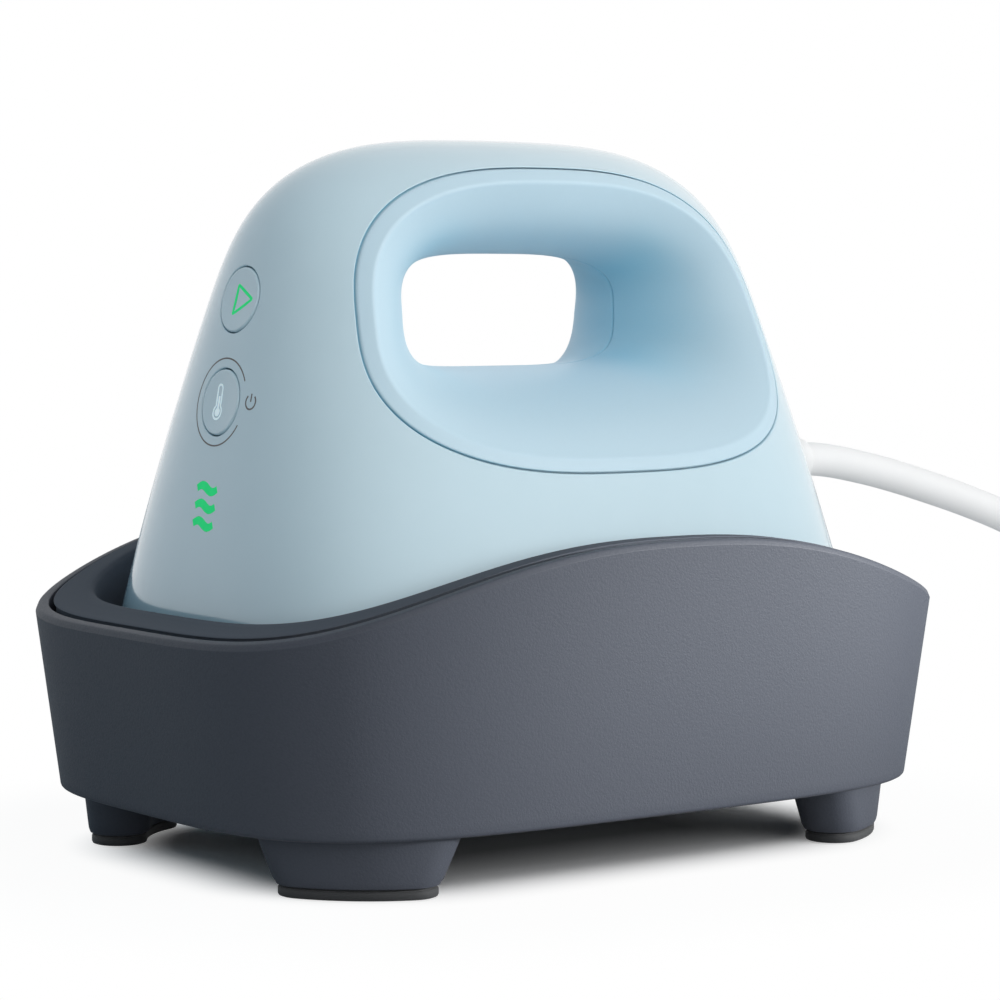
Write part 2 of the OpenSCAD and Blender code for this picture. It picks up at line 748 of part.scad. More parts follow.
module board_carrier() {
    color("#8d939b")
    difference() {
        union() {
            translate([-carrier_w / 2, -carrier_front_y, carrier_z])
                cube([carrier_w, carrier_front_y + carrier_rear_y, carrier_t]);
            translate([-clamp_neck_w / 2, carrier_rear_y - weld, carrier_z])
                cube([clamp_neck_w, clamp_y + clamp_w - carrier_rear_y + weld, carrier_t]);
            corners(leg_x, leg_y)
                translate([-leg_w / 2, -leg_w / 2, leg_z]) cube([leg_w, leg_w, carrier_z + weld - leg_z]);
            translate([0, board_y, carrier_z + carrier_t - weld])
                corners(board_hole_x, board_hole_y) cylinder(h = standoff_h + weld - fit, d = standoff_d);
            translate([-clamp_block_w / 2, clamp_y - clamp_w / 2, carrier_z + carrier_t - weld])
                cube([clamp_block_w, clamp_w, clamp_seat_z - carrier_z - carrier_t + weld - fit]);
            for (x = [-clamp_x, clamp_x])
                translate([x, clamp_y, carrier_z]) cylinder(h = clamp_z - fit - carrier_z, d = clamp_boss_d);
        }
        translate([0, board_y, 0])
            corners(board_hole_x, board_hole_y)
            translate([0, 0, carrier_z - 1]) cylinder(h = standoff_h + 9, d = standoff_hole_d);
        for (x = [-clamp_x, clamp_x])
            translate([x, clamp_y, carrier_z - 1]) cylinder(h = 20, d = clamp_screw_d + 0.2);
    }
}
module carrier_screws() {
    color("silver")
    translate([0, board_y, board_z + board_t + fit])
    corners(board_hole_x, board_hole_y) screw(4.6, 1.6, standoff_hole_d - 0.2, 6);
}
module control_board() {
    color("#2f6b4a")
    translate([0, board_y, board_z])
    difference() {
        translate([-board_w / 2, -board_l / 2, 0]) cube([board_w, board_l, board_t]);
        corners(board_hole_x, board_hole_y) translate([0, 0, -1]) cylinder(h = 4, d = standoff_hole_d + 0.2);
    }
}
part_z = board_z + board_t + fit;
relay_size = [15.4, 19, 14.8];
relay_at = [-19, 8];
bobbin = [24, 20, 3];
winding = [16, 14];
transformer_h = 14;
transformer_y = -12;
capacitor_d = 10;
capacitor_h = 13;
capacitors_at = [[9, 9.5], [9, 21.5]];
block_size = [20, 7, 9];
block_at = [-1, 31.9];
terminal_pitch = 6.5;
terminal_d = 3.6;
terminal_floor = 4;
buzzer_d = 12;
buzzer_h = 7;
buzzer_at = [-19, -28];
sound_hole_d = 2.4;

module on_board(at) {
    translate([at[0], at[1], part_z]) children();
}
module relay() {
    color("#26364a") on_board(relay_at) cube(relay_size);
}
module transformer() {
    color("#d9b23c")
    on_board([0, transformer_y])
    union() {
        for (z = [0, transformer_h - bobbin[2]])
            translate([-bobbin[0] / 2, -bobbin[1] / 2, z]) cube(bobbin);
        translate([-winding[0] / 2, -winding[1] / 2, 1]) cube([winding[0], winding[1], transformer_h - 2]);
    }
}
module capacitors() {
    color("#20252b")
    for (at = capacitors_at)
        on_board(at) cylinder(h = capacitor_h, d = capacitor_d);
}
module terminal_block() {
    color("#3f7d3a")
    on_board(block_at)
    difference() {
        translate([-block_size[0] / 2, -block_size[1] / 2, 0]) cube(block_size);
        for (k = [-1:1])
            translate([k * terminal_pitch, 0, terminal_floor]) cylinder(h = block_size[2], d = terminal_d);
    }
}
module buzzer() {
    color("#17191c")
    on_board(buzzer_at)
    difference() {
        cylinder(h = buzzer_h, d = buzzer_d);
        translate([0, 0, buzzer_h / 2]) cylinder(h = buzzer_h, d = sound_hole_d);
    }
}

// Controls

flange_t = 1.3;
flange_grow = 1.5;
flange_sag = shell_hl(go_z, shell_wall) - shell_y(button_d / 2 + flange_grow, go_z, shell_wall);
flange_low = shell_wall + flange_sag + run + flange_t;
nub_l = 1.3;
nub_d = 3;
button_proud = 0.15;
switch_l = 6;
switch_h = 4.2;
switch_body_h = 3.5;
plunger_d = 3.4;
panel_z = temperature_z;
panel_depth = flange_low + nub_l + button_travel + switch_h + 3 * run;
panel_w = 24;
panel_up = 27;
panel_down = 25;
post_x = 9;
post_ups = [10.5, -12];
post_d = 4.6;
post_hole_d = 1.8;
lens_depth = 1.4;
face_dish_r = 45;
face_dish = 0.35;

module button() {
    difference() {
        union() {
            translate([0, 0, -flange_low]) cylinder(h = flange_low + button_proud, d = button_d);
            translate([0, 0, -flange_low]) cylinder(h = flange_t, d = button_d + 2 * flange_grow);
            translate([0, 0, -flange_low - nub_l]) cylinder(h = nub_l + weld, d = nub_d);
        }
        translate([0, 0, face_dish_r + button_proud - face_dish]) sphere(face_dish_r);
        translate([0, 0, -lens_depth]) linear_extrude(5) children();
    }
}
module lens() {
    translate([0, 0, fit / 2 - lens_depth])
    linear_extrude(lens_depth - fit / 2 + button_proud - face_dish) children();
}

play_r = 3.9;
play_stroke = 0.6;
play_x = 0.9;
module play_shape(grow) {
    inner = play_r - 2 * play_stroke - 2 * grow;
    translate([play_x, 0])
    difference() {
        circle(play_r + 2 * grow, $fn = 3);
        circle(inner, $fn = 3);
    }
}
stem_x = -0.7;
stem_w = 2;
stem_top_y = 2.7;
bulb_d = 3.3;
bulb_y = -2.05;
module thermometer_shape(grow) {
    translate([stem_x, bulb_y]) circle(d = bulb_d + 2 * grow);
    translate([stem_x - stem_w / 2 - grow, bulb_y]) square([stem_w + 2 * grow, stem_top_y - bulb_y]);
    translate([stem_x, stem_top_y]) circle(d = stem_w + 2 * grow);
}

module go_button() {
    color("#c4dbe5") on_front(go_z) button() play_shape(0.05);
}
module go_lens() {
    color("#14d47f") on_front(go_z) lens() play_shape(0);
}
module temperature_button() {
    color("#c4dbe5") on_front(temperature_z) button() thermometer_shape(0.05);
}
module temperature_lens() {
    color("#d5eaf0") on_front(temperature_z) lens() thermometer_shape(0);
}
// Light guide behind the waves, just above its three lights
led_h = 1;
led_w = 3;
led_l = 1.8;
led_off = 8.5;
led_pitch = 3.8;
guide_w = 12;
guide_low = -panel_depth + fit + led_h + run;
guide_top = -5.2;
module wave_lights() {
    color("#14d47f")
    union() {
        waves(0, -6, -0.1);
        on_front(panel_z)
            translate([-guide_w / 2, -wave_fall - guide_w / 2, guide_low])
            cube([guide_w, guide_w, guide_top - guide_low]);
    }
}
module at_posts() {
    on_front(panel_z)
    for (x = [-post_x, post_x], up = post_ups)
        translate([x, up, -panel_depth]) children();
}
module button_board() {
    color("#2f6b4a")
    difference() {
        on_front(panel_z)
            translate([-panel_w / 2, -panel_down, -panel_depth - board_t])
            cube([panel_w, panel_up + panel_down, board_t]);
        at_posts() cylinder(h = 8, d = 2.4, center = true);
    }
}
module panel_screws() {
    color("silver")
    at_posts() translate([0, 0, -board_t - fit]) mirror([0, 0, 1]) screw(4, 1.4, post_hole_d - 0.1, 6);
}
go_rise = (go_z - panel_z) / cos(shell_lean(panel_z));
wave_fall = (panel_z - wave_z) / cos(shell_lean(panel_z));
module tact_switches() {
    color("#1c1e22")
    on_front(panel_z)
    for (up = [0, go_rise])
        translate([0, up, -panel_depth + fit])
        union() {
            translate([0, 0, switch_body_h / 2]) cube([switch_l, switch_l, switch_body_h], center = true);
            cylinder(h = switch_h, d = plunger_d);
        }
}
module light_leds() {
    color("#e9edc9")
    on_front(panel_z)
    for (up = concat([led_off, go_rise - led_off], [for (k = [-1:1]) k * led_pitch - wave_fall]))
        translate([0, up, -panel_depth + fit + led_h / 2]) cube([led_w, led_l, led_h], center = true);
}

// Power lead

relief_d = cord_d + 4.4;
relief_tip_d = cord_d + 2.2;
relief_tip_y = 88;
relief_flange_d = relief_d + 5;
relief_flange_t = 2;
relief_seat = shell_wall + relief_flange_d / 2 * tan(shell_lean(exit_z)) + fit;
relief_l = relief_tip_y - shell_hl(exit_z);
relief_ribs = 5;
relief_collar = 2;
relief_groove = 1.4;

module strain_relief() {
    color("#e4e5e6")
    on_exit()
    difference() {
        rotate_extrude()
        polygon([
            [0, -relief_seat - relief_flange_t], [relief_flange_d / 2, -relief_seat - relief_flange_t],
            [relief_flange_d / 2, -relief_seat], [relief_d / 2, -relief_seat], [relief_d / 2, relief_collar],
            [relief_tip_d / 2, relief_l], [0, relief_l]
        ]);
        for (k = [1:relief_ribs])
            translate([0, 0, mix(relief_collar, relief_l - 1, k / (relief_ribs + 1))])
            rotate_extrude()
            translate([mix(relief_d, relief_tip_d, k / (relief_ribs + 1)) / 2, 0])
            square(relief_groove, center = true);
    }
}

inner_end_y = 44;
relief_back_y = shell_hl(exit_z) - relief_seat - relief_flange_t;
module cord_inner_end() {
    color("#f0f0f0")
    translate([0, inner_end_y, exit_z])
    rotate([-90, 0, 0]) cylinder(h = relief_back_y - inner_end_y - fit / 3, d = cord_d);
}
clamp_z = exit_z + 1 + fit;
clamp_h = cord_d / 2 + 2;
module cord_clamp() {
    color("#6a6f77")
    difference() {
        translate([-clamp_x - clamp_w / 2, clamp_y - clamp_w / 2, clamp_z])
            cube([2 * clamp_x + clamp_w, clamp_w, clamp_h]);
        translate([0, clamp_y, exit_z]) rotate([90, 0, 0]) cylinder(h = 20, d = cord_d + fit, center = true);
        for (x = [-clamp_x, clamp_x])
            translate([x, clamp_y, 0]) cylinder(h = 120, d = clamp_screw_d + 4 * fit);
    }
}
module clamp_screws() {
    color("silver")
    for (x = [-clamp_x, clamp_x])
        translate([x, clamp_y, clamp_z + clamp_h + fit])
        screw(2 * clamp_screw_d, 1.8, clamp_screw_d, clamp_h + 6);
}

// Routes of the inner leads, from the lead's end to the terminals and from the board to the element
wire_d = 1.8;
mains_x = [-2.2, 0, 2.2];
module lead_wires() {
    color("#b0342f")
    union() {
        for (x = mains_x)
            tube([[x, inner_end_y - fit, exit_z], [x, 41, exit_z], [x * 1.4, 38.5, exit_z + 1.5],
                [x * 1.6, 36.8, exit_z + 4]], wire_d, 8);
        for (s = [-1, 1])
            tube([[s * element_x, element_rear_y + 1.4, 62], [s * element_x, element_rear_y + 2.4, 66],
                [s * 27, element_rear_y + 1.4, 72], [s * 28.6, element_rear_y - 2, 76.6],
                [s * 28.6, 35.4, 77.8]], wire_d, 8);
    }
}

// Route of the lead from the strain relief's tip to the coil, lying on the floor at its end
cord_route = [
    [0, relief_tip_y, exit_z], [0, 92, exit_z], [0, 98, 76.5], [0, 105, 75.2], [0, 112, 73.7], [0, 120, 71.7],
    [0, 128, 69.5], [0, 136, 67.2], [0, 144, 64.7], [-0.2, 152, 62], [-1, 160, 59], [-2.5, 168, 55.6],
    [-4.6, 176, 51.7], [-7.2, 184, 47.2], [-10, 191, 42.5], [-13.2, 198, 37.2], [-16.8, 205, 31.5],
    [-20.6, 212, 25.8], [-24.4, 219, 20.4], [-28, 226, 15.6], [-31.4, 233, 11.6], [-35, 241, 8.2],
    [-38.2, 249, 5.9], [-40.9, 257, 4.7], [-42.9, 265, 4.2], [-44.3, 273, 4], [-45, 281, 4], [-45, 287, 4]
];

// Coil: in on the lower layer, half a turn to climb at the inside, out on the upper layer
coil_pitch = cord_d + 1.7;
coil_outer_r = coil_inner_r + coil_turns * coil_pitch;
coil_low_z = 4;
coil_all = 2 * coil_turns + 0.5;
coil_steps = 24;
coil_start = cord_route[len(cord_route) - 1] + [0, cord_d, 0];
coil_c = [coil_start[0] + coil_outer_r, coil_start[1], 0];
function coil_r(u) =
    u < coil_turns ? coil_outer_r - u * coil_pitch
    : u < coil_turns + 0.5 ? coil_inner_r
    : coil_inner_r + (u - coil_turns - 0.5) * coil_pitch;
function coil_z(u) =
    coil_low_z + coil_pitch * (1 - cos(180 * min(1, max(0, (u - coil_turns) / 0.5)))) / 2;
function coil_point(u) =
    coil_c + [-coil_r(u) * cos(360 * u), coil_r(u) * sin(360 * u), coil_z(u)];
coil_count = round(coil_all * coil_steps);
coil_turn_points = [for (i = [0:coil_count]) coil_point(i / coil_steps)];
coil_end = coil_point(coil_all);
tail_l = coil_outer_r + 8;
tail_points = [for (i = [1:5]) coil_end - [0, tail_l * i / 5, 0]];
coil_points = concat([cord_route[len(cord_route) - 1]], coil_turn_points, tail_points);
coil_gap = min([
    for (i = [0:coil_count - 8], j = [i + 8:coil_count]) norm(coil_turn_points[i] - coil_turn_points[j])
]) - cord_d;
function path_l(p) = [for (i = [1:len(p) - 1]) norm(p[i] - p[i - 1])];
function total(v, i = 0) = i < len(v) ? v[i] + total(v, i + 1) : 0;
echo(coil_least_gap = coil_gap, lead_length = total(path_l(cord_route)) + total(path_l(coil_points)));

module power_cord() {
    color("#f0f0f0") tube(cord_route, cord_d, 10);
}
module cord_coil() {
    color("#f0f0f0") tube(coil_points, cord_d, 6);
}

tie_w = 9;
tie_t = 1.2;
tie_gap = 0.8;
tie_off_floor = 0.05;
tie_in = coil_inner_r - cord_d / 2 - tie_gap;
tie_out = coil_outer_r + cord_d / 2 + tie_gap;
tie_high = coil_low_z + coil_pitch + cord_d / 2 + tie_gap;
module coil_tie() {
    color("#2b2d31")
    translate([coil_c[0], coil_c[1] + 1, 0])
    rotate([90, 0, 0])
    linear_extrude(tie_w, center = true)
    translate([-tie_out - tie_t, tie_off_floor])
    difference() {
        square([tie_out - tie_in + 2 * tie_t, tie_high + tie_t]);
        translate([tie_t, -1]) square([tie_out - tie_in, tie_high + 1]);
    }
}

plug_l = 34;
plug_w = 25;
plug_h = 2 * coil_end[2] - 0.1;
plug_neck_l = 14;
plug_y = coil_end[1] - tail_l;
plug_corner_r = 5;
plug_neck_grow = 2.5;
blade_l = 16;
blade_t = 1.5;
blade_w = 6.4;
blade_pitch = 12.7;
blade_up = 3;
pin_down = 5.5;
ground_pin_d = 4.8;
ground_pin_l = 19;
module plug() {
    color("#e4e5e6")
    translate([coil_end[0], plug_y, coil_end[2]])
    rotate([90, 0, 0])
    union() {
        cylinder(h = plug_neck_l + 1, d1 = cord_d + plug_neck_grow, d2 = plug_h * 0.8);
        translate([0, 0, plug_neck_l])
            linear_extrude(plug_l - plug_neck_l) round_plan(plug_w, plug_h, plug_corner_r);
    }
}
module plug_blades() {
    face = plug_y - plug_l - 0.05;
    color("#c9b27a")
    translate([coil_end[0], face, coil_end[2]]) {
        for (k = [-1, 1])
            translate([(k * blade_pitch - blade_t) / 2, -blade_l, blade_up - blade_w / 2])
            cube([blade_t, blade_l, blade_w]);
        translate([0, 0, -pin_down]) rotate([90, 0, 0]) cylinder(h = ground_pin_l, d = ground_pin_d);
    }
}

base_shell();
base_tray();
foot_pads();
rest_pads();
tray_screws();
outer_shell();
left_grip();
right_grip();
lower_skirt();
housing_screws();
heat_plate();
plate_nuts();
heating_element();
insulation_pad();
heat_shield();
temperature_sensor();
thermal_fuse();
board_carrier();
carrier_screws();
control_board();
relay();
transformer();
capacitors();
terminal_block();
buzzer();
button_board();
panel_screws();
tact_switches();
light_leds();
go_button();
go_lens();
temperature_button();
temperature_lens();
wave_lights();
strain_relief();
cord_inner_end();
cord_clamp();
clamp_screws();
lead_wires();
power_cord();
cord_coil();
coil_tie();
plug();
plug_blades();
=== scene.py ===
"""Looks of a cap heat press resting in its safety base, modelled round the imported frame."""

import json
import logging
import math
from dataclasses import dataclass
from enum import Enum
from typing import Callable, Optional, Sequence, Union

import bpy
import numpy as np
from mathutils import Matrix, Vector


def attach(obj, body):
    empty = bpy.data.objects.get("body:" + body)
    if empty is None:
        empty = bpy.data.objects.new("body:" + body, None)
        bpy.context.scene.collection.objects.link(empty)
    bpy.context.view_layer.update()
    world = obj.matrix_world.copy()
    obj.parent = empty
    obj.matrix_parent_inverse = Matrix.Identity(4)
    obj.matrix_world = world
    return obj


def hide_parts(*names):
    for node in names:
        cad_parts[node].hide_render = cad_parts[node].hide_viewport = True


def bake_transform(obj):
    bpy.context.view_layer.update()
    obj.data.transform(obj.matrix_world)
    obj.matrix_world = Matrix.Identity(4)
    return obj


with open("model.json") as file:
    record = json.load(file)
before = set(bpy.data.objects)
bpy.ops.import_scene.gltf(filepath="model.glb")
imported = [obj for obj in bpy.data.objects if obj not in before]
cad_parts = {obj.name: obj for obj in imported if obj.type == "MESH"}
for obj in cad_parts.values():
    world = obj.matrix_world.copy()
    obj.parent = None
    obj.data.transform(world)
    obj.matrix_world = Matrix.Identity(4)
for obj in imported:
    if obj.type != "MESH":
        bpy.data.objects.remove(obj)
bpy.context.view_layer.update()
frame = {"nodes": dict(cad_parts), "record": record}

LOG = logging.getLogger("cap_heat_press")
# Metres in a millimetre, which is the unit of every size below
MM = 0.001
# Angle in degrees past which the edge of a mesh stays sharp
CREASE = 35
# Signs of x and y at the four corners of the base
CORNERS = ((-1, -1), (-1, 1), (1, -1), (1, 1))
Points = np.ndarray
Amount = Union[float, np.ndarray]
Height = Callable[[np.ndarray, np.ndarray], np.ndarray]


# Numbers and outlines


def mix(a: Amount, b: Amount, share: Amount) -> Amount:
    """Goes from a to b as the share goes from 0 to 1."""
    return a + (b - a) * share


def signed_power(value: np.ndarray, power: Amount) -> np.ndarray:
    """Raises the size of a value to a power and keeps its sign."""
    return np.sign(value) * np.abs(value) ** power


def superellipse(half_x: Amount, half_y: Amount, power: Amount, angles: np.ndarray) -> Points:
    """Points of a squared-off oval, whose sizes and squareness may change with the angle.

    Args:
        half_x: Half size along the first axis.
        half_y: Half size along the second axis.
        power: Squareness, where 2 is an ellipse.
        angles: Plan angles in radians.

    Returns:
        One row of two coordinates for each angle.
    """
    reach = 2 / power
    x = half_x * signed_power(np.cos(angles), reach)
    y = half_y * signed_power(np.sin(angles), reach)
    return np.stack([x, y], axis=-1)


def even_angles(half_x: float, half_y: float, power: float, count: int) -> np.ndarray:
    """Plan angles that step evenly along a squared-off oval.

    Args:
        half_x: Half size along the first axis.
        half_y: Half size along the second axis.
        power: Squareness of the oval.
        count: Number of angles.

    Returns:
        The angles in radians, from 0 up.
    """
    dense_steps = 8000
    dense = np.linspace(0, 2 * math.pi, dense_steps + 1)
    outline = superellipse(half_x, half_y, power, dense)
    run = np.concatenate([[0], np.cumsum(np.linalg.norm(np.diff(outline, axis=0), axis=1))])
    return np.interp(np.linspace(0, run[-1], count, endpoint=False), run, dense)


def smooth_path(points: Sequence[Sequence[float]], steps: int) -> Points:
    """Smooth curve through points, with evenly shared steps between neighbours.

    Args:
        points: The points that the curve passes.
        steps: Steps from each point to the next.

    Returns:
        The points of the curve, ends included.
    """
    known = np.array(points, float)
    padded = np.vstack([2 * known[0] - known[1], known, 2 * known[-1] - known[-2]])
    share = np.linspace(0, 1, steps, endpoint=False)[:, None]
    rows = []
    for a, b, c, d in zip(padded, padded[1:], padded[2:], padded[3:]):
        bend, twist = 2 * a - 5 * b + 4 * c - d, 3 * b - a - 3 * c + d
        rows.append(0.5 * (2 * b + (c - a) * share + bend * share**2 + twist * share**3))
    return np.vstack(rows + [known[-1:]])


def arc(centre: Sequence[float], radius: float, start: float, end: float, steps: int) -> Points:
    """Points along an arc in a plane, with its angles in degrees."""
    turn = np.radians(np.linspace(start, end, steps))
    return np.array(centre) + radius * np.stack([np.cos(turn), np.sin(turn)], axis=-1)


def rounded_polygon(corners: Sequence[Sequence[float]], radius: float, steps: int) -> Points:
    """Closed outline with each corner eased by a short curve.

    Args:
        corners: Corners in order.
        radius: Distance from a corner at which the curve starts.
        steps: Points on each corner's curve.

    Returns:
        The points of the outline.
    """
    known = np.array(corners, float)
    share = np.linspace(0, 1, steps)[:, None]
    rows = []
    for before, corner, after in zip(np.roll(known, 1, 0), known, np.roll(known, -1, 0)):
        a = corner + (before - corner) / np.linalg.norm(before - corner) * radius
        c = corner + (after - corner) / np.linalg.norm(after - corner) * radius
        rows.append((1 - share) ** 2 * a + 2 * share * (1 - share) * corner + share**2 * c)
    return np.vstack(rows)


# Meshes


def smooth(piece: bpy.types.Object, crease: float = CREASE) -> None:
    """Shades a piece smoothly, apart from its edges past an angle in degrees."""
    piece.data.shade_smooth()
    piece.data.set_sharp_from_angle(angle=math.radians(crease))


def make_piece(name: str, points: Points, faces: list, crease: float = CREASE) -> bpy.types.Object:
    """Adds a closed mesh, with its faces turned outward.

    Args:
        name: Name of the piece.
        points: Points in millimetres.
        faces: Corner numbers of each face.
        crease: Angle in degrees past which an edge stays sharp.

    Returns:
        The new object.
    """
    points = np.asarray(points, float)
    volume = 0.0
    for size in {len(face) for face in faces}:
        corners = points[np.array([face for face in faces if len(face) == size])]
        for i in range(1, size - 1):
            volume += np.einsum("ij,ij->", corners[:, 0], np.cross(corners[:, i], corners[:, i + 1]))
    if volume < 0:
        faces = [tuple(reversed(face)) for face in faces]
    mesh = bpy.data.meshes.new(name)
    mesh.from_pydata((points * MM).tolist(), [], [tuple(int(i) for i in face) for face in faces])
    mesh.update()
    piece = bpy.data.objects.new(name, mesh)
    bpy.context.scene.collection.objects.link(piece)
    smooth(piece, crease)
    return piece


def skin(rings: Sequence[Points], poles: Optional[Sequence[Sequence[float]]] = None) -> tuple[Points, list]:
    """Faces over a stack of rings.

    Args:
        rings: Rings with as many points each.
        poles: Two points that close the first and the last ring. Without them the last ring joins the first.

    Returns:
        The points and the faces.
    """
    rows, cols = len(rings), len(rings[0])
    row = np.arange(rows - 1 if poles is not None else rows)[:, None] * cols
    col = np.arange(cols)[None, :]
    after, above = (col + 1) % cols, (row + cols) % (rows * cols)
    quads = np.stack([row + col, row + after, above + after, above + col], axis=-1).reshape(-1, 4)
    faces = [tuple(q) for q in quads.tolist()]
    points = np.vstack(rings)
    if poles is not None:
        low, high = rows * cols, rows * cols + 1
        last = (rows - 1) * cols
        for i in range(cols):
            faces.append(((i + 1) % cols, i, low))
            faces.append((last + i, last + (i + 1) % cols, high))
        points = np.vstack([points, np.array(poles, float)])
    return points, faces


def lathe_rings(profile: Sequence[Sequence[float]], count: int) -> list[Points]:
    """Rings of a turned shape about its own Z, one for each (radius, height) of the profile."""
    turn = np.linspace(0, 2 * math.pi, count, endpoint=False)
    return [
        np.stack([r * np.cos(turn), r * np.sin(turn), np.full(count, h)], axis=-1) for r, h in profile
    ]


def tube_rings(path: Points, radii: Amount, sides: int) -> list[Points]:
    """Rings of a round tube whose frame turns as little as it can along its path.

    Args:
        path: Points of the middle line.
        radii: Radius, or one radius for each point.
        sides: Points in each ring.

    Returns:
        One ring for each point of the path.
    """
    reach = np.broadcast_to(np.asarray(radii, float), (len(path),))
    heading = np.gradient(path, axis=0)
    heading /= np.linalg.norm(heading, axis=1)[:, None]
    side = np.cross(heading[0], (0, 0, 1) if abs(heading[0][2]) < 0.9 else (1, 0, 0))
    turn = np.linspace(0, 2 * math.pi, sides, endpoint=False)[:, None]
    rings = []
    for centre, along, r in zip(path, heading, reach):
        side = side - np.dot(side, along) * along
        side = side / np.linalg.norm(side)
        rings.append(centre + r * (np.cos(turn) * side + np.sin(turn) * np.cross(along, side)))
    return rings


class Carving(Enum):
    """What a tool does to a piece, by the name that Blender gives it."""

    CUT = "DIFFERENCE"
    JOIN = "UNION"


def carve(piece: bpy.types.Object, tools: Sequence[bpy.types.Object], carving: Carving) -> None:
    """Cuts tools from a piece or joins them to it, and takes the tools away.

    Args:
        piece: The piece that is changed.
        tools: Closed meshes that don't cross each other.
        carving: Whether they are cut away or joined on.
    """
    for tool in tools:
        step = piece.modifiers.new(tool.name, "BOOLEAN")
        step.object = tool
        step.operation = carving.value
        step.solver = "MANIFOLD"
    graph = bpy.context.evaluated_depsgraph_get()
    made = bpy.data.meshes.new_from_object(piece.evaluated_get(graph))
    piece.modifiers.clear()
    made.name = piece.name
    piece.data = made
    for tool in tools:
        bpy.data.objects.remove(tool)


def place(points: Points, origin: Sequence[float], axes: Sequence[Sequence[float]]) -> Points:
    """Moves points from a local frame to the part's frame."""
    return np.array(origin, float) + np.asarray(points, float) @ np.array(axes, float)


# Finishes


class Grain(Enum):
    """How a surface came by its fine texture."""

    POLISHED = "polished mould"
    SPARKED = "spark-eroded mould"
    LEATHER = "etched leather grain"
    DRAWN = "drawn or rolled metal"
    FIBRE = "felted fibre"
    MASKED = "solder mask over copper"


def to_linear(colour: str) -> tuple[float, float, float, float]:
    """Turns an sRGB hex colour into a linear one.

    Args:
        colour: The colour, such as #a0b4c8.

    Returns:
        Red, green, blue and 1.
    """
    levels = [int(colour[i : i + 2], 16) / 255 for i in (1, 3, 5)]
    linear = [c / 12.92 if c <= 0.04045 else ((c + 0.055) / 1.055) ** 2.4 for c in levels]
    return (linear[0], linear[1], linear[2], 1.0)


def add_node(
    tree: bpy.types.NodeTree, kind: str, inputs: Optional[dict] = None, **settings: object
) -> bpy.types.Node:
    """Adds one shader node with its settings and links.

    Args:
        tree: The material's or the world's tree.
        kind: Blender's name for the node.
        inputs: A value, or the socket to link from, for each input by name or number.
        **settings: Properties of the node.

    Returns:
        The node.
    """
    node = tree.nodes.new(kind)
    for key, value in settings.items():
        setattr(node, key, value)
    for key, value in (inputs or {}).items():
        if isinstance(value, bpy.types.NodeSocket):
            tree.links.new(value, node.inputs[key])
        else:
            node.inputs[key].default_value = value
    return node


def empty_tree(owner: Union[bpy.types.Material, bpy.types.World]) -> bpy.types.NodeTree:
    """Gives a material or a world a node tree with nothing in it.

    Args:
        owner: The material or the world.

    Returns:
        The tree.
    """
    owner.use_nodes = True
    owner.node_tree.nodes.clear()
    return owner.node_tree


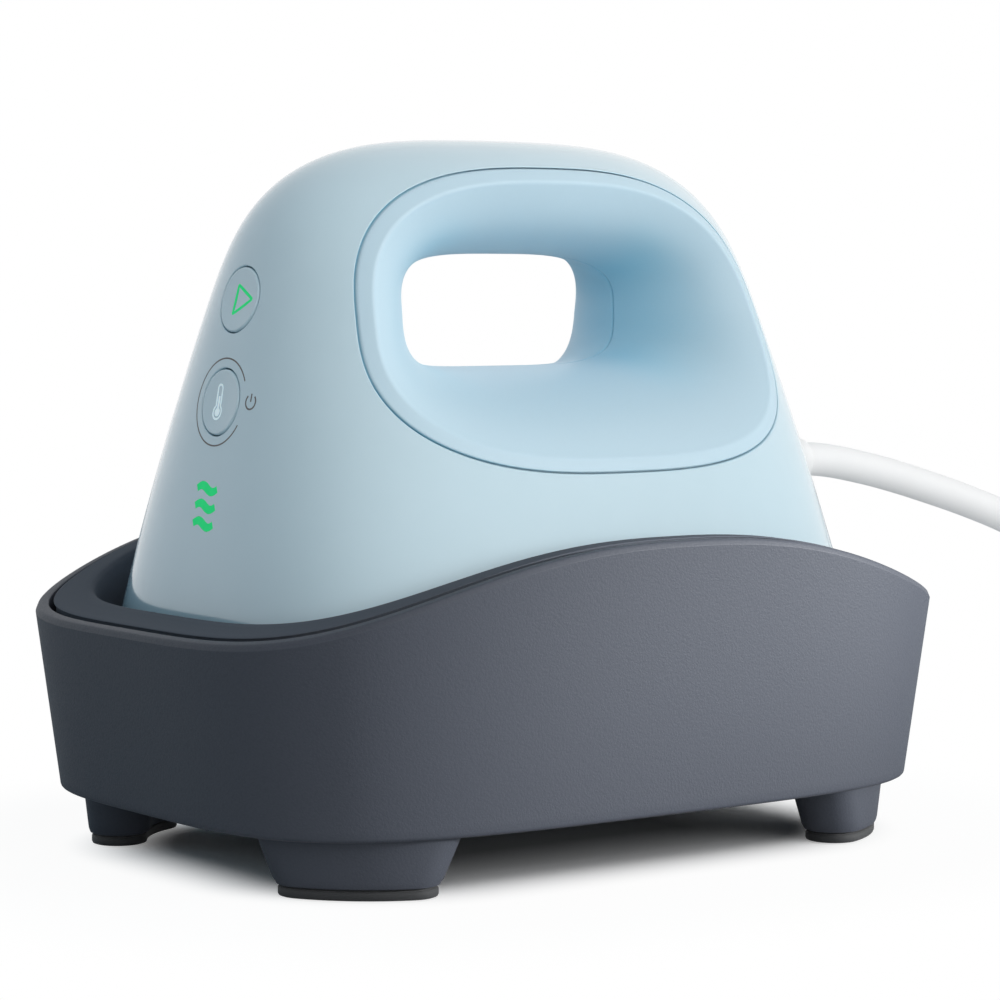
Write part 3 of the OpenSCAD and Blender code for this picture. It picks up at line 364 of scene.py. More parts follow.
@dataclass(frozen=True)
class Finish:
    """One real material with the way that its surface was made.

    Attributes:
        name: Common name and process.
        colour: Main colour, sRGB hex.
        shade: Colour in the hollows of the texture, sRGB hex.
        roughness: Middle roughness.
        swing: How far the roughness wanders from it.
        grain: Kind of texture.
        grain_mm: Size of one feature of the texture.
        depth_mm: Height of the texture.
        metallic: 1 for bare metal.
        ior: Index of refraction.
        coat: Weight of a clear gloss layer.
        coat_roughness: Roughness of that layer.
        sheen: Weight of a soft nap.
        sheen_tint: Colour of the nap, sRGB hex.
        glow: Strength of the light that it gives: a lamp behind a lens, or painted light on the white lead.
        hollow: Colour of painted shade deep in a hollow and on walls facing along the press. Empty for none.
        hollow_mm: How wide a hollow counts for the painted shade.
    """

    name: str
    colour: str
    shade: str
    roughness: float
    swing: float
    grain: Grain
    grain_mm: float
    depth_mm: float
    metallic: float = 0.0
    ior: float = 1.5
    coat: float = 0.0
    coat_roughness: float = 0.1
    sheen: float = 0.0
    sheen_tint: str = "#ffffff"
    glow: float = 0.0
    hollow: str = ""
    hollow_mm: float = 45.0

    def pattern(self, tree: bpy.types.NodeTree) -> bpy.types.NodeSocket:
        """Adds the texture's height.

        Args:
            tree: The material's node tree.

        Returns:
            A socket that runs from about 0 to 1.
        """
        where = add_node(tree, "ShaderNodeTexCoord").outputs["Object"]
        scale = 1 / (self.grain_mm * MM)
        if self.grain is Grain.LEATHER:
            return self.leather(tree, where, scale)
        if self.grain is Grain.FIBRE:
            return add_node(
                tree, "ShaderNodeTexWave",
                {"Vector": where, "Scale": scale * 0.2, "Distortion": 18.0, "Detail": 4.0},
            ).outputs["Fac"]
        if self.grain is Grain.DRAWN:
            where = add_node(
                tree, "ShaderNodeMapping", {"Vector": where, "Scale": (1.0, 0.06, 1.0)}
            ).outputs["Vector"]
        detail = 4.0 if self.grain in (Grain.SPARKED, Grain.DRAWN) else 1.0
        return add_node(
            tree, "ShaderNodeTexNoise", {"Vector": where, "Scale": scale, "Detail": detail, "Roughness": 0.6}
        ).outputs["Fac"]

    def leather(
        self, tree: bpy.types.NodeTree, where: bpy.types.NodeSocket, scale: float
    ) -> bpy.types.NodeSocket:
        """Adds the height of uneven cells with a finer roughness on them.

        Args:
            tree: The material's node tree.
            where: Place on the piece.
            scale: Number of cells in a metre.

        Returns:
            A socket that runs from about 0 to 1.
        """
        bend = add_node(tree, "ShaderNodeTexNoise", {"Vector": where, "Scale": scale * 0.6, "Detail": 2.0})
        moved = add_node(
            tree, "ShaderNodeMix",
            {"Factor": self.grain_mm * MM * 0.5, 4: where, 5: bend.outputs["Color"]}, data_type="VECTOR",
        )
        cells = add_node(
            tree, "ShaderNodeTexVoronoi", {"Vector": moved.outputs[1], "Scale": scale}, feature="SMOOTH_F1"
        )
        fine = add_node(tree, "ShaderNodeTexNoise", {"Vector": where, "Scale": scale * 2.2, "Detail": 3.0})
        both = add_node(
            tree, "ShaderNodeMath", {0: fine.outputs["Fac"], 1: cells.outputs["Distance"]},
            operation="SUBTRACT",
        )
        return add_node(
            tree, "ShaderNodeMapRange", {"Value": both.outputs[0], "From Min": -0.35, "From Max": 0.5}
        ).outputs["Result"]

    def paint_hollow_shade(self, tree: bpy.types.NodeTree, colour: bpy.types.NodeSocket) -> bpy.types.NodeSocket:
        """Paints shade: the hollow's colour, deep in a hollow and on walls that face along the press.

        Args:
            tree: The material's node tree.
            colour: Colour on open ground.

        Returns:
            The mixed colour.
        """
        clear = add_node(tree, "ShaderNodeAmbientOcclusion", {"Distance": self.hollow_mm * MM}, samples=8)
        shallow = add_node(
            tree, "ShaderNodeMapRange", {"Value": clear.outputs["AO"], "From Min": 0.22, "From Max": 0.85}
        )
        facing = add_node(tree, "ShaderNodeTexCoord").outputs["Normal"]
        along = add_node(
            tree, "ShaderNodeVectorMath", {0: facing, 1: (0.0, 1.0, 0.0)}, operation="DOT_PRODUCT"
        )
        end_on = add_node(tree, "ShaderNodeMath", {0: along.outputs["Value"]}, operation="ABSOLUTE")
        sideways = add_node(
            tree, "ShaderNodeMapRange",
            {"Value": end_on.outputs[0], "From Min": 0.05, "From Max": 0.6, "To Min": 1.0, "To Max": 0.0},
        )
        share = add_node(
            tree, "ShaderNodeMath", {0: shallow.outputs["Result"], 1: sideways.outputs["Result"]},
            operation="MAXIMUM",
        )
        return add_node(
            tree, "ShaderNodeMix", {"Factor": share.outputs[0], 6: to_linear(self.hollow), 7: colour},
            data_type="RGBA",
        ).outputs[2]

    def make(self) -> bpy.types.Material:
        """Builds the material once and hands it out from then on.

        Returns:
            The material.
        """
        known = bpy.data.materials.get(self.name)
        if known is not None:
            return known
        material = bpy.data.materials.new(self.name)
        tree = empty_tree(material)
        height = self.pattern(tree)
        colour = add_node(
            tree, "ShaderNodeMix", {"Factor": height, 6: to_linear(self.shade), 7: to_linear(self.colour)},
            data_type="RGBA",
        ).outputs[2]
        # Painted shade: the hollow's colour deep in hollows and on walls facing along the press
        if self.hollow:
            colour = self.paint_hollow_shade(tree, colour)
        rough = add_node(
            tree, "ShaderNodeMapRange",
            {"Value": height, "To Min": self.roughness + self.swing, "To Max": self.roughness - self.swing},
        )
        bump = add_node(
            tree, "ShaderNodeBump", {"Height": height, "Distance": self.depth_mm * MM, "Strength": 1.0}
        )
        surface = add_node(
            tree, "ShaderNodeBsdfPrincipled",
            {
                "Base Color": colour, "Roughness": rough.outputs["Result"],
                "Normal": bump.outputs["Normal"], "Metallic": self.metallic, "IOR": self.ior,
                "Coat Weight": self.coat, "Coat Roughness": self.coat_roughness,
                "Sheen Weight": self.sheen, "Sheen Roughness": 0.5, "Sheen Tint": to_linear(self.sheen_tint),
            },
        )
        if self.glow:
            tree.links.new(colour, surface.inputs["Emission Color"])
            surface.inputs["Emission Strength"].default_value = self.glow
        add_node(tree, "ShaderNodeOutputMaterial", {"Surface": surface.outputs["BSDF"]})
        return material


# Real moulded, drawn and sprayed textures, at about 0.05 mm, are too fine to show in the render, so each is
# drawn as coarse as its finish says

# ABS from a polished mould: deep gloss with a barely wavy skin, so highlights stay soft-edged and whole
BLUE_GLOSS = Finish(
    "ABS light blue, gloss moulded", "#c3dbe5", "#c0d9e3", 0.14, 0.02, Grain.POLISHED, 9, 0.004,
    ior=1.53, coat=0.6, coat_roughness=0.06,
)
# Elastomer over ABS from a spark-eroded mould: velvety, no sharp highlight, a pale bloom at grazing light
# Painted shade: a deeper blue deep in the hand hole and on its walls that face along the press
BLUE_SOFT = Finish(
    "Elastomer light blue, soft-touch moulded", "#c4dde9", "#c0dae7", 0.4, 0.04, Grain.SPARKED, 0.35, 0.006,
    ior=1.48, sheen=0.18, sheen_tint="#e6f1f6", hollow="#98d2e6",
)
# ABS from an etched mould: fine leather-like cells that break the light into a dry, even grain
SLATE_GRAIN = Finish(
    "ABS slate, leather-grain moulded", "#42464f", "#3f434c", 0.55, 0.05, Grain.LEATHER, 0.46, 0.026,
    ior=1.33,
)
# Polypropylene from a satin mould: smoother and duller than the base, with no clear highlight
CHARCOAL_SATIN = Finish(
    "Polypropylene charcoal, satin moulded", "#53575f", "#4f535b", 0.7, 0.03, Grain.SPARKED, 0.5, 0.006,
    ior=1.15,
)
# Moulded rubber: near black and dry
PAD_RUBBER = Finish(
    "Rubber black, moulded", "#26282b", "#1f2123", 0.72, 0.05, Grain.SPARKED, 0.6, 0.012,
    ior=1.52, sheen=0.1,
)
# Heat-proof silicone: dull red with a faint bloom
RED_SILICONE = Finish(
    "Silicone red-brown, moulded", "#7d3b34", "#73352f", 0.6, 0.05, Grain.SPARKED, 0.7, 0.01,
    ior=1.43, sheen=0.15,
)
# Zinc-plated steel: bright, slightly bluish, with fine turning marks
ZINC_STEEL = Finish(
    "Steel, zinc plated", "#c2c5c9", "#a9adb2", 0.3, 0.07, Grain.DRAWN, 0.4, 0.004, metallic=1.0,
)
# Glass-filled phenolic: dense grey with a fine mottle
HEAT_GREY = Finish(
    "Phenolic grey, glass filled and moulded", "#5c6169", "#50555c", 0.5, 0.06, Grain.SPARKED, 0.8, 0.012,
    ior=1.6,
)
# Non-stick coating sprayed on cast aluminium: dark satin with tiny bright flecks
COATED_PLATE = Finish(
    "Aluminium cast, non-stick coated", "#585b60", "#46494d", 0.36, 0.08, Grain.SPARKED, 0.5, 0.01,
    metallic=0.35,
)
# Drawn steel sheath: grey with marks along its length
ELEMENT_STEEL = Finish(
    "Steel sheath, drawn", "#8d9093", "#77797c", 0.38, 0.08, Grain.DRAWN, 0.5, 0.006, metallic=1.0,
)
# Ceramic fibre felt: off-white matted strands
CERAMIC_FIBRE = Finish(
    "Ceramic fibre, felted", "#ebe6d8", "#d6cfbd", 0.9, 0.05, Grain.FIBRE, 1.6, 0.15, sheen=0.3,
)
# Rolled aluminium sheet: bright with fine rolling lines
SHIELD_SHEET = Finish(
    "Aluminium sheet, rolled", "#cfd1d3", "#bcbfc2", 0.28, 0.08, Grain.DRAWN, 0.4, 0.004, metallic=1.0,
)
# Turned brass: warm and bright
SENSOR_BRASS = Finish(
    "Brass, turned", "#c9b07c", "#b39a66", 0.3, 0.06, Grain.DRAWN, 0.3, 0.004, metallic=1.0,
)
# Glazed ceramic: cream and glassy
CERAMIC_CREAM = Finish(
    "Ceramic cream, glazed", "#dbd6c8", "#d2ccbc", 0.25, 0.04, Grain.POLISHED, 2, 0.01,
    ior=1.54, coat=0.4,
)
# Plain engineering plastic: mid grey, satin
GREY_PLASTIC = Finish(
    "Nylon grey, moulded", "#8d939b", "#848a92", 0.5, 0.05, Grain.SPARKED, 0.6, 0.01, ior=1.53,
)
# Fibreglass board under green mask: glossy, with copper pours showing as a faint cloud
BOARD_GREEN = Finish(
    "Fibreglass board, solder masked", "#2f6f4c", "#24593c", 0.35, 0.08, Grain.MASKED, 4, 0.02,
    ior=1.55, coat=0.3,
)
# PBT from a satin mould: dark blue with a broad, low shine, for the relay's cover
RELAY_BLUE = Finish(
    "PBT dark blue, moulded", "#2a3b52", "#243347", 0.45, 0.05, Grain.SPARKED, 0.6, 0.01, ior=1.55,
)
# Polyester tape round the windings: yellow and glossy
TAPE_YELLOW = Finish(
    "Polyester tape yellow, wound", "#d9b23c", "#caa230", 0.3, 0.06, Grain.DRAWN, 0.8, 0.01, ior=1.6,
)
# Moulded PVC: black with a dull, even shine, for small casings
SLEEVE_BLACK = Finish(
    "PVC black, moulded", "#202327", "#1a1c20", 0.45, 0.06, Grain.SPARKED, 0.5, 0.008, ior=1.53,
)
# Moulded nylon: mid green and satin, for the terminals
TERMINAL_GREEN = Finish(
    "Nylon green, moulded", "#3f7d3a", "#377033", 0.45, 0.05, Grain.SPARKED, 0.6, 0.01, ior=1.53,
)
# Cast epoxy over a phosphor: pale yellow and glassy
LED_EPOXY = Finish(
    "Epoxy pale yellow, cast", "#eaedc9", "#dfe3b8", 0.2, 0.03, Grain.POLISHED, 1, 0.004,
    ior=1.5, coat=0.5,
)
# Polycarbonate lens, lit from behind: flat bright green
GREEN_LIGHT = Finish(
    "Polycarbonate green, lit", "#0ab866", "#08b062", 0.5, 0.02, Grain.POLISHED, 2, 0.002,
    ior=1.3, glow=0.7,
)
# Polycarbonate lens, lit from behind: cool white
PALE_LIGHT = Finish(
    "Polycarbonate white, lit", "#dff0f5", "#d5eaf0", 0.3, 0.02, Grain.POLISHED, 2, 0.002,
    ior=1.58, glow=0.3,
)
# Screen-printed ink: flat warm grey
PRINT_GREY = Finish(
    "Ink warm grey, screen printed", "#6b6664", "#646060", 0.55, 0.04, Grain.SPARKED, 0.2, 0.002, ior=1.5,
)
# Soft PVC jacket: even white satin, with a faint painted glow that lightens its shaded underside
CORD_WHITE = Finish(
    "PVC white, extruded", "#cfcfcf", "#cdcdcd", 0.5, 0.03, Grain.POLISHED, 8, 0.003, ior=1.48, glow=0.4,
)
# Extruded silicone: soft, dull red with no sharp highlight
WIRE_RED = Finish(
    "Silicone red, extruded", "#b0342f", "#a02d29", 0.5, 0.05, Grain.SPARKED, 0.8, 0.008, ior=1.43,
)
# Hook-and-loop strap: black nap
TIE_BLACK = Finish(
    "Nylon black, woven hook-and-loop", "#2b2d31", "#1d1f22", 0.85, 0.05, Grain.FIBRE, 0.9, 0.12, sheen=0.5,
)
# Stamped brass: pale gold with a bright shine drawn out along the strip
BLADE_BRASS = Finish(
    "Brass, stamped", "#cbb682", "#b8a26d", 0.28, 0.06, Grain.DRAWN, 0.4, 0.004, metallic=1.0,
)

SLOT_FINISHES: dict[str, Finish] = {
    "blue_gloss_plastic": BLUE_GLOSS, "blue_soft_touch": BLUE_SOFT, "slate_grained_plastic": SLATE_GRAIN,
    "charcoal_plastic": CHARCOAL_SATIN, "pad_rubber": PAD_RUBBER, "red_silicone": RED_SILICONE,
    "zinc_steel": ZINC_STEEL, "grey_heat_plastic": HEAT_GREY, "coated_plate": COATED_PLATE,
    "element_steel": ELEMENT_STEEL, "ceramic_fibre": CERAMIC_FIBRE, "shield_aluminium": SHIELD_SHEET,
    "sensor_brass": SENSOR_BRASS, "ceramic_cream": CERAMIC_CREAM, "grey_plastic": GREY_PLASTIC,
    "board_green": BOARD_GREEN, "relay_blue": RELAY_BLUE, "tape_yellow": TAPE_YELLOW,
    "sleeve_black": SLEEVE_BLACK, "terminal_green": TERMINAL_GREEN, "led_epoxy": LED_EPOXY,
    "green_light": GREEN_LIGHT, "pale_light": PALE_LIGHT, "cord_white": CORD_WHITE, "wire_red": WIRE_RED,
    "tie_black": TIE_BLACK, "blade_brass": BLADE_BRASS,
}


def dress(piece: bpy.types.Object, finish: Finish) -> None:
    """Gives a piece one finish all over."""
    piece.data.materials.clear()
    piece.data.materials.append(finish.make())


def settle(piece: bpy.types.Object, slot: str, body: Optional[str], *nodes: str) -> bpy.types.Object:
    """Dresses a finished piece, ties it to its body and says which nodes it stands for.

    Args:
        piece: The piece.
        slot: The record's material slot.
        body: The body that it rides on, or None for a piece that rides on no body.
        *nodes: CAD nodes that it stands for.

    Returns:
        The piece.
    """
    dress(piece, SLOT_FINISHES[slot])
    if body is not None:
        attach(piece, body)
    if nodes:
        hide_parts(*nodes)
    LOG.info("%s: %d faces, for %s", piece.name, len(piece.data.polygons), ", ".join(nodes) or "itself")
    return piece


# Press


@dataclass
class Housing:
    """Gloss housing of the press: a leaning, crowned shell on an arched lower edge.

    Pairs hold the value along the press and the one across it.
    """

    foot: tuple[float, float] = (148.6, 122.6)
    shoulder: tuple[float, float] = (122.8, 77.8)
    foot_z: float = 35.0
    top: float = 147.2
    shoulder_drop: float = 32.2
    bulge: tuple[float, float] = (1.6, 0.2)
    crown_drop: tuple[float, float] = (31.0, 38.3)
    crown_power: tuple[float, float] = (3.37, 2.6)
    foot_power: float = 3.7
    crown_plan_power: float = 1.9
    wall: float = 2.4
    arch_centre: float = -121.0
    edge_radius: float = 168.0
    around: int = 320
    rows: int = 150
    inner_rows: int = 40
    crowding: float = 2.4
    spacing_power: float = 2.7
    tip: float = 0.002
    flat_tip: float = 0.05

    def half(self, axis: int, z: np.ndarray, inset: float = 0.0) -> np.ndarray:
        """Half length (axis 0) or half width (axis 1) at a height.

        Args:
            axis: 0 along the press, 1 across it.
            z: Heights in millimetres.
            inset: Distance inside the outer surface.

        Returns:
            The half sizes.
        """
        z = np.asarray(z, float)
        share = (z - self.foot_z) / (self.top - self.shoulder_drop - self.foot_z)
        straight = mix(self.foot[axis], self.shoulder[axis], share) / 2
        lean = straight + 4 * self.bulge[axis] * share * (1 - share)
        start = self.top - self.crown_drop[axis]
        rise = np.clip((z - start) / (self.top - inset - start), 0, 1)
        power = self.crown_power[axis]
        return (lean - inset) * (1 - rise**power) ** (1 / power)

    def power(self, z: np.ndarray) -> np.ndarray:
        """Squareness of the plan at a height."""
        share = (np.asarray(z) - self.foot_z) / (self.top - self.foot_z)
        return mix(self.foot_power, self.crown_plan_power, share)

    def side_x(self, y: np.ndarray, z: np.ndarray) -> np.ndarray:
        """Half width of the outer surface at a place along the press and a height."""
        n = self.power(z)
        return self.half(1, z) * np.clip(1 - (np.abs(y) / self.half(0, z)) ** n, 0, None) ** (1 / n)

    def level(self, points: Points) -> np.ndarray:
        """Tells how far out points lie.

        Args:
            points: Points in millimetres.

        Returns:
            1 for a point on the outer surface, less for one inside.
        """
        x, y, z = points[:, 0], points[:, 1], np.minimum(points[:, 2], self.top - self.tip)
        n = self.power(z)
        return (np.abs(x) / self.half(1, z)) ** n + (np.abs(y) / self.half(0, z)) ** n

    def normals(self, points: Points) -> Points:
        """Outward directions of the outer surface.

        Args:
            points: Points on the surface.

        Returns:
            One unit vector for each point.
        """
        step = 0.01
        slopes = [self.level(points + step * axis) - self.level(points - step * axis) for axis in np.eye(3)]
        out = np.stack(slopes, axis=-1)
        out[points[:, 2] > self.top - self.flat_tip] = (0, 0, 1)
        return out / np.linalg.norm(out, axis=1)[:, None]

    def lean_angle(self, z: float) -> float:
        """Lean of the front face at a height, in radians."""
        return math.atan(float(self.half(0, z - 0.5) - self.half(0, z + 0.5)))

    def edge_z(self, angles: np.ndarray, inset: float) -> np.ndarray:
        """Height of the arched lower edge.

        Args:
            angles: Plan angles in radians.
            inset: Distance inside the outer surface.

        Returns:
            One height for each angle.
        """
        guess, rounds = 40.0, 6
        z = np.full(len(angles), guess)
        for _ in range(rounds):
            y = self.half(0, z, inset) * np.abs(np.sin(angles)) ** (2 / self.power(z))
            z = self.arch_centre + np.sqrt(self.edge_radius**2 - y**2)
        return z

    def ring(self, angles: np.ndarray, share: float, inset: float) -> Points:
        """One ring of the skin.

        Args:
            angles: Plan angles in radians.
            share: Share of the way from the lower edge to the top.
            inset: Distance inside the outer surface.

        Returns:
            One point for each angle.
        """
        low = self.edge_z(angles, inset)
        z = low + (self.top - inset - low) * share
        flat = superellipse(self.half(1, z, inset), self.half(0, z, inset), self.power(z), angles)
        return np.column_stack([flat, z])

    def build(self, tools: Sequence[bpy.types.Object]) -> bpy.types.Object:
        """Makes the shell and cuts its openings.

        Args:
            tools: Closed meshes of the openings.

        Returns:
            The shell.
        """
        angles = even_angles(self.foot[1], self.foot[0], self.spacing_power, self.around)
        outer_gap, inner_gap = 0.012, 0.03
        outer_shares = 1 - np.linspace(1, outer_gap, self.rows) ** self.crowding
        inner_shares = 1 - np.linspace(inner_gap, 1, self.inner_rows) ** self.crowding
        rings = [self.ring(angles, share, 0) for share in outer_shares]
        rings += [self.ring(angles, share, self.wall) for share in inner_shares]
        points, faces = skin(rings)
        cols, split = self.around, self.rows * self.around
        faces = [f for f in faces if not split - cols <= min(f) < split <= max(f)]
        top, under = len(points), len(points) + 1
        points = np.vstack([points, [(0, 0, self.top), (0, 0, self.top - self.wall)]])
        for i in range(cols):
            j = (i + 1) % cols
            faces.append((split - cols + i, split - cols + j, top))
            faces.append((split + j, split + i, under))
        shell = make_piece("outer_housing", points, faces)
        carve(shell, tools, Carving.CUT)
        self.polish(shell)
        return settle(shell, "blue_gloss_plastic", "press", "outer_shell")

    def polish(self, shell: bpy.types.Object) -> None:
        """Gives the outer surface the exact directions of its formula, so that reflections run smoothly.

        Args:
            shell: The shell, with its openings cut.
        """
        smooth(shell)
        mesh = shell.data
        points = np.array([v.co for v in mesh.vertices]) / MM
        exact = self.normals(points)
        close, aligned = 2e-3, 0.9
        skin_point = np.abs(self.level(points) - 1) < close
        corners = np.zeros(len(mesh.loops), int)
        mesh.loops.foreach_get("vertex_index", corners)
        sizes = np.zeros(len(mesh.polygons), int)
        mesh.polygons.foreach_get("loop_total", sizes)
        facing = np.zeros(len(mesh.polygons) * 3)
        mesh.polygons.foreach_get("normal", facing)
        starts = np.concatenate([[0], np.cumsum(sizes)[:-1]])
        along = np.add.reduceat(exact[corners], starts, axis=0) / sizes[:, None]
        on_skin = np.logical_and.reduceat(skin_point[corners], starts)
        outside = on_skin & ((along * facing.reshape(-1, 3)).sum(1) > aligned)
        custom = np.where(np.repeat(outside, sizes)[:, None], exact[corners], 0.0)
        mesh.normals_split_custom_set(custom.tolist())


@dataclass
class FrontFace:
    """Local frame on the front of the housing: across, up the face and out of it."""

    housing: Housing
    z: float

    def axes(self) -> Points:
        """Directions of the frame.

        Returns:
            One row each for across, up and out.
        """
        lean = self.housing.lean_angle(self.z)
        sine, cosine = math.sin(lean), math.cos(lean)
        return np.array([(1, 0, 0), (0, sine, cosine), (0, -cosine, sine)])

    def origin(self) -> Points:
        """Point of the face on the press's middle line."""
        return np.array([0, -float(self.housing.half(0, self.z)), self.z])

    def place(self, points: Points) -> Points:
        """Moves local points to the part's frame."""
        return place(points, self.origin(), self.axes())

    def surface(self, across: np.ndarray, up: np.ndarray) -> np.ndarray:
        """Height of the housing's skin above the frame's plane, found by a few Newton steps.

        Args:
            across: Places across the face.
            up: Places up the face.

        Returns:
            One height for each place.
        """
        out = np.zeros(np.shape(across))
        step, tries = 0.01, 8
        for _ in range(tries):
            here = self.housing.level(self.place(np.stack([across, up, out], axis=-1)))
            there = self.housing.level(self.place(np.stack([across, up, out + step], axis=-1)))
            out = out - (here - 1) * step / np.maximum(there - here, 1e-9)
        return out


def raised(
    name: str, outline: Sequence[Points], face: FrontFace, height: Height, proud: float, depth: float
) -> bpy.types.Object:
    """Solid that follows a curved face, between two edges of a stroke.

    Args:
        name: Name of the piece.
        outline: The stroke's two edges, point by point. Closed strokes repeat their first point.
        face: The frame that it lies in.
        height: Height of the face above the frame's plane.
        proud: How far the top stands above the face.
        depth: How far the underside lies below it.

    Returns:
        The piece.
    """
    left, right = (np.asarray(edge, float) for edge in outline)
    closed = np.allclose(left[0], left[-1])
    if closed:
        left, right = left[:-1], right[:-1]
    middle = (left + right) / 2
    rows = []
    for edge, out in ((left, -depth), (left, proud), (middle, proud), (right, proud), (right, -depth)):
        rows.append(np.column_stack([edge, height(edge[:, 0], edge[:, 1]) + out]))
    count, sides = len(left), len(rows)
    faces = []
    for row in range(sides):
        here, above = row * count, (row + 1) % sides * count
        for i in range(count if closed else count - 1):
            j = (i + 1) % count
            faces.append((here + i, here + j, above + j, above + i))
    if not closed:
        faces.append(tuple(row * count for row in range(sides)))
        faces.append(tuple(row * count + count - 1 for row in reversed(range(sides))))
    return make_piece(name, face.place(np.vstack(rows)), faces)


def stroke(path: Points, width: Amount) -> tuple[Points, Points]:
    """Two edges of a line.

    Args:
        path: Points of the middle line. A closed line repeats its first point.
        width: Width of the line, or a column with one width for each point.

    Returns:
        The left and the right edge.
    """
    path = np.asarray(path, float)
    if np.allclose(path[0], path[-1]):
        around = np.vstack([path[-2], path, path[1]])
        along = (around[2:] - around[:-2]) / 2
    else:
        along = np.gradient(path, axis=0)
    along /= np.linalg.norm(along, axis=1)[:, None]
    side = np.stack([-along[:, 1], along[:, 0]], axis=-1) * width / 2
    return path + side, path - side


@dataclass
class Grips:
    """Two soft-touch inserts that fill the side windows and meet in the hand hole.

    Pairs for the hole hold its value along the press and upward, and its squareness above and below.
    """

    housing: Housing
    height: float = 61.0
    length: float = 102.4
    middle_z: float = 110.2
    power: float = 2.8
    taper: float = 0.134
    border: float = 2.7
    thickness: float = 2.2
    gap: float = 0.3
    step: float = 0.1
    hole_middle: tuple[float, float] = (2.5, 111.7)
    hole_half: tuple[float, float] = (31.2, 11.85)
    hole_power: tuple[float, float] = (3.15, 4.15)
    flare_share: float = 0.74
    flare_lean: float = -0.0067
    flare_turn: float = 9.0
    parting: float = 0.24
    around: int = 288
    edge_round: float = 0.35
    dish_start: float = 0.012
    dish_end: float = 0.982
    dish_rows: int = 54
    dish_crowding: float = 1.5
    back_rows: int = 14
    back_crowding: float = 0.8
    crease_rows: int = 14
    crease_reach: float = 0.5
    crease_pull: float = 0.42
    groove: float = 1.5
    groove_clear: float = 0.03
    window_round: float = 0.4
    window_span: tuple[float, float] = (4.0, 80.0)

    def __post_init__(self) -> None:
        """Sets the angles that all rings share."""
        self.angles = even_angles(self.length / 2, self.height / 2, self.power, self.around)

    def outline(self, inset: float) -> Points:
        """Outline of an insert in the side plane.

        Args:
            inset: How far it is drawn in.

        Returns:
            One row along the press and upward for each angle.
        """
        reach = 2 / self.power
        z = self.middle_z + (self.height / 2 - inset) * signed_power(np.sin(self.angles), reach)
        half = self.length / 2 - inset - self.taper * (z - self.middle_z)
        return np.stack([half * signed_power(np.cos(self.angles), reach), z], axis=-1)

    def flush_ring(self, inset: float, sink: float) -> Points:
        """Ring on the housing's surface, sunk by a depth."""
        flat = self.outline(inset)
        return np.column_stack([self.housing.side_x(flat[:, 0], flat[:, 1]) - sink, flat])

    def dish_ring(self, share: float, back: float) -> Points:
        """Ring of the dish.

        Args:
            share: Share of the way from the hole's waist to the border.
            back: How far the ring is moved into the body.

        Returns:
            One point for each angle.
        """
        rim = self.outline(self.border)
        power = np.where(np.sin(self.angles) > 0, *self.hole_power)
        waist = np.array(self.hole_middle) + superellipse(*self.hole_half, power, self.angles)
        out = rim - waist
        deep = self.housing.side_x(rim[:, 0], rim[:, 1]) - self.step
        turn = self.flare_turn
        early = self.flare_share + self.flare_lean * (rim[:, 1] - self.hole_middle[1])
        flare = early * share**2 + (1 - early) * share**turn
        rate = 2 * early * share + (1 - early) * turn * share ** (turn - 1)
        reach = np.linalg.norm(out, axis=1)
        slope = reach * rate
        span = np.hypot(slope, deep)
        flat = waist + out * (flare + back * deep / span / reach)[:, None]
        return np.column_stack([np.maximum(self.parting, deep * share - back * slope / span), flat])

    def crease_rings(self, count: int, share: float) -> list[Points]:
        """Soft turn from the dish into the flush border, tangent to both.

        Args:
            count: Number of rings.
            share: Share of the dish at which the turn starts.

        Returns:
            The rings, outward from the dish.
        """
        step, further = 0.01, 2.0
        a, before = self.dish_ring(share, 0), self.dish_ring(share - step, 0)
        b, after = (self.flush_ring(self.border - reach, 0) for reach in (self.crease_reach, further))
        pull = np.linalg.norm(b - a, axis=1)[:, None] * self.crease_pull
        leave = a + (a - before) / np.linalg.norm(a - before, axis=1)[:, None] * pull
        arrive = b - (after - b) / np.linalg.norm(after - b, axis=1)[:, None] * pull
        rings = []
        for u in np.linspace(0, 1, count):
            v = 1 - u
            rings.append(v**3 * a + 3 * u * v**2 * leave + 3 * u**2 * v * arrive + u**3 * b)
        return rings

    def build(self, name: str, side: int) -> bpy.types.Object:
        """Makes one insert.

        Args:
            name: Node that it stands for.
            side: 1 for the right insert, -1 for the left.

        Returns:
            The insert.
        """
        shares = np.linspace(1, 0, self.back_rows) ** self.back_crowding
        rings = [self.dish_ring(s, self.thickness) for s in shares]
        # Eased edge where the two inserts meet
        for back, out in ((0.6, 0.02 - self.parting), (0.16, 0.0), (0.04, 0.12)):
            rings.append(self.dish_ring(0, back) + (out, 0, 0))
        left = 1 - np.linspace(self.dish_start, 1, self.dish_rows)
        shares = self.dish_end * (1 - left**self.dish_crowding)
        rings += [self.dish_ring(s, 0) for s in shares[:-1]]
        rings += self.crease_rings(self.crease_rows, self.dish_end)
        border = np.linspace(self.border - self.crease_reach - 0.3, 0.6, 5)
        rings += [self.flush_ring(inset, 0) for inset in border]
        for turn in np.radians((0, 22, 45, 68, 90)):
            r = self.edge_round
            rings.append(self.flush_ring(r - r * math.sin(turn), r - r * math.cos(turn)))
        # Bottom of the groove round the insert
        filled = self.gap - self.groove_clear
        rings += [self.flush_ring(0, self.groove), self.flush_ring(-filled, self.groove + 0.1)]
        rings.append(self.flush_ring(-filled, self.thickness + self.step))
        points, faces = skin(rings)
        points[:, 0] *= side
        insert = make_piece(f"{name}_insert", points, faces, crease=50)
        return settle(insert, "blue_soft_touch", "press", name)

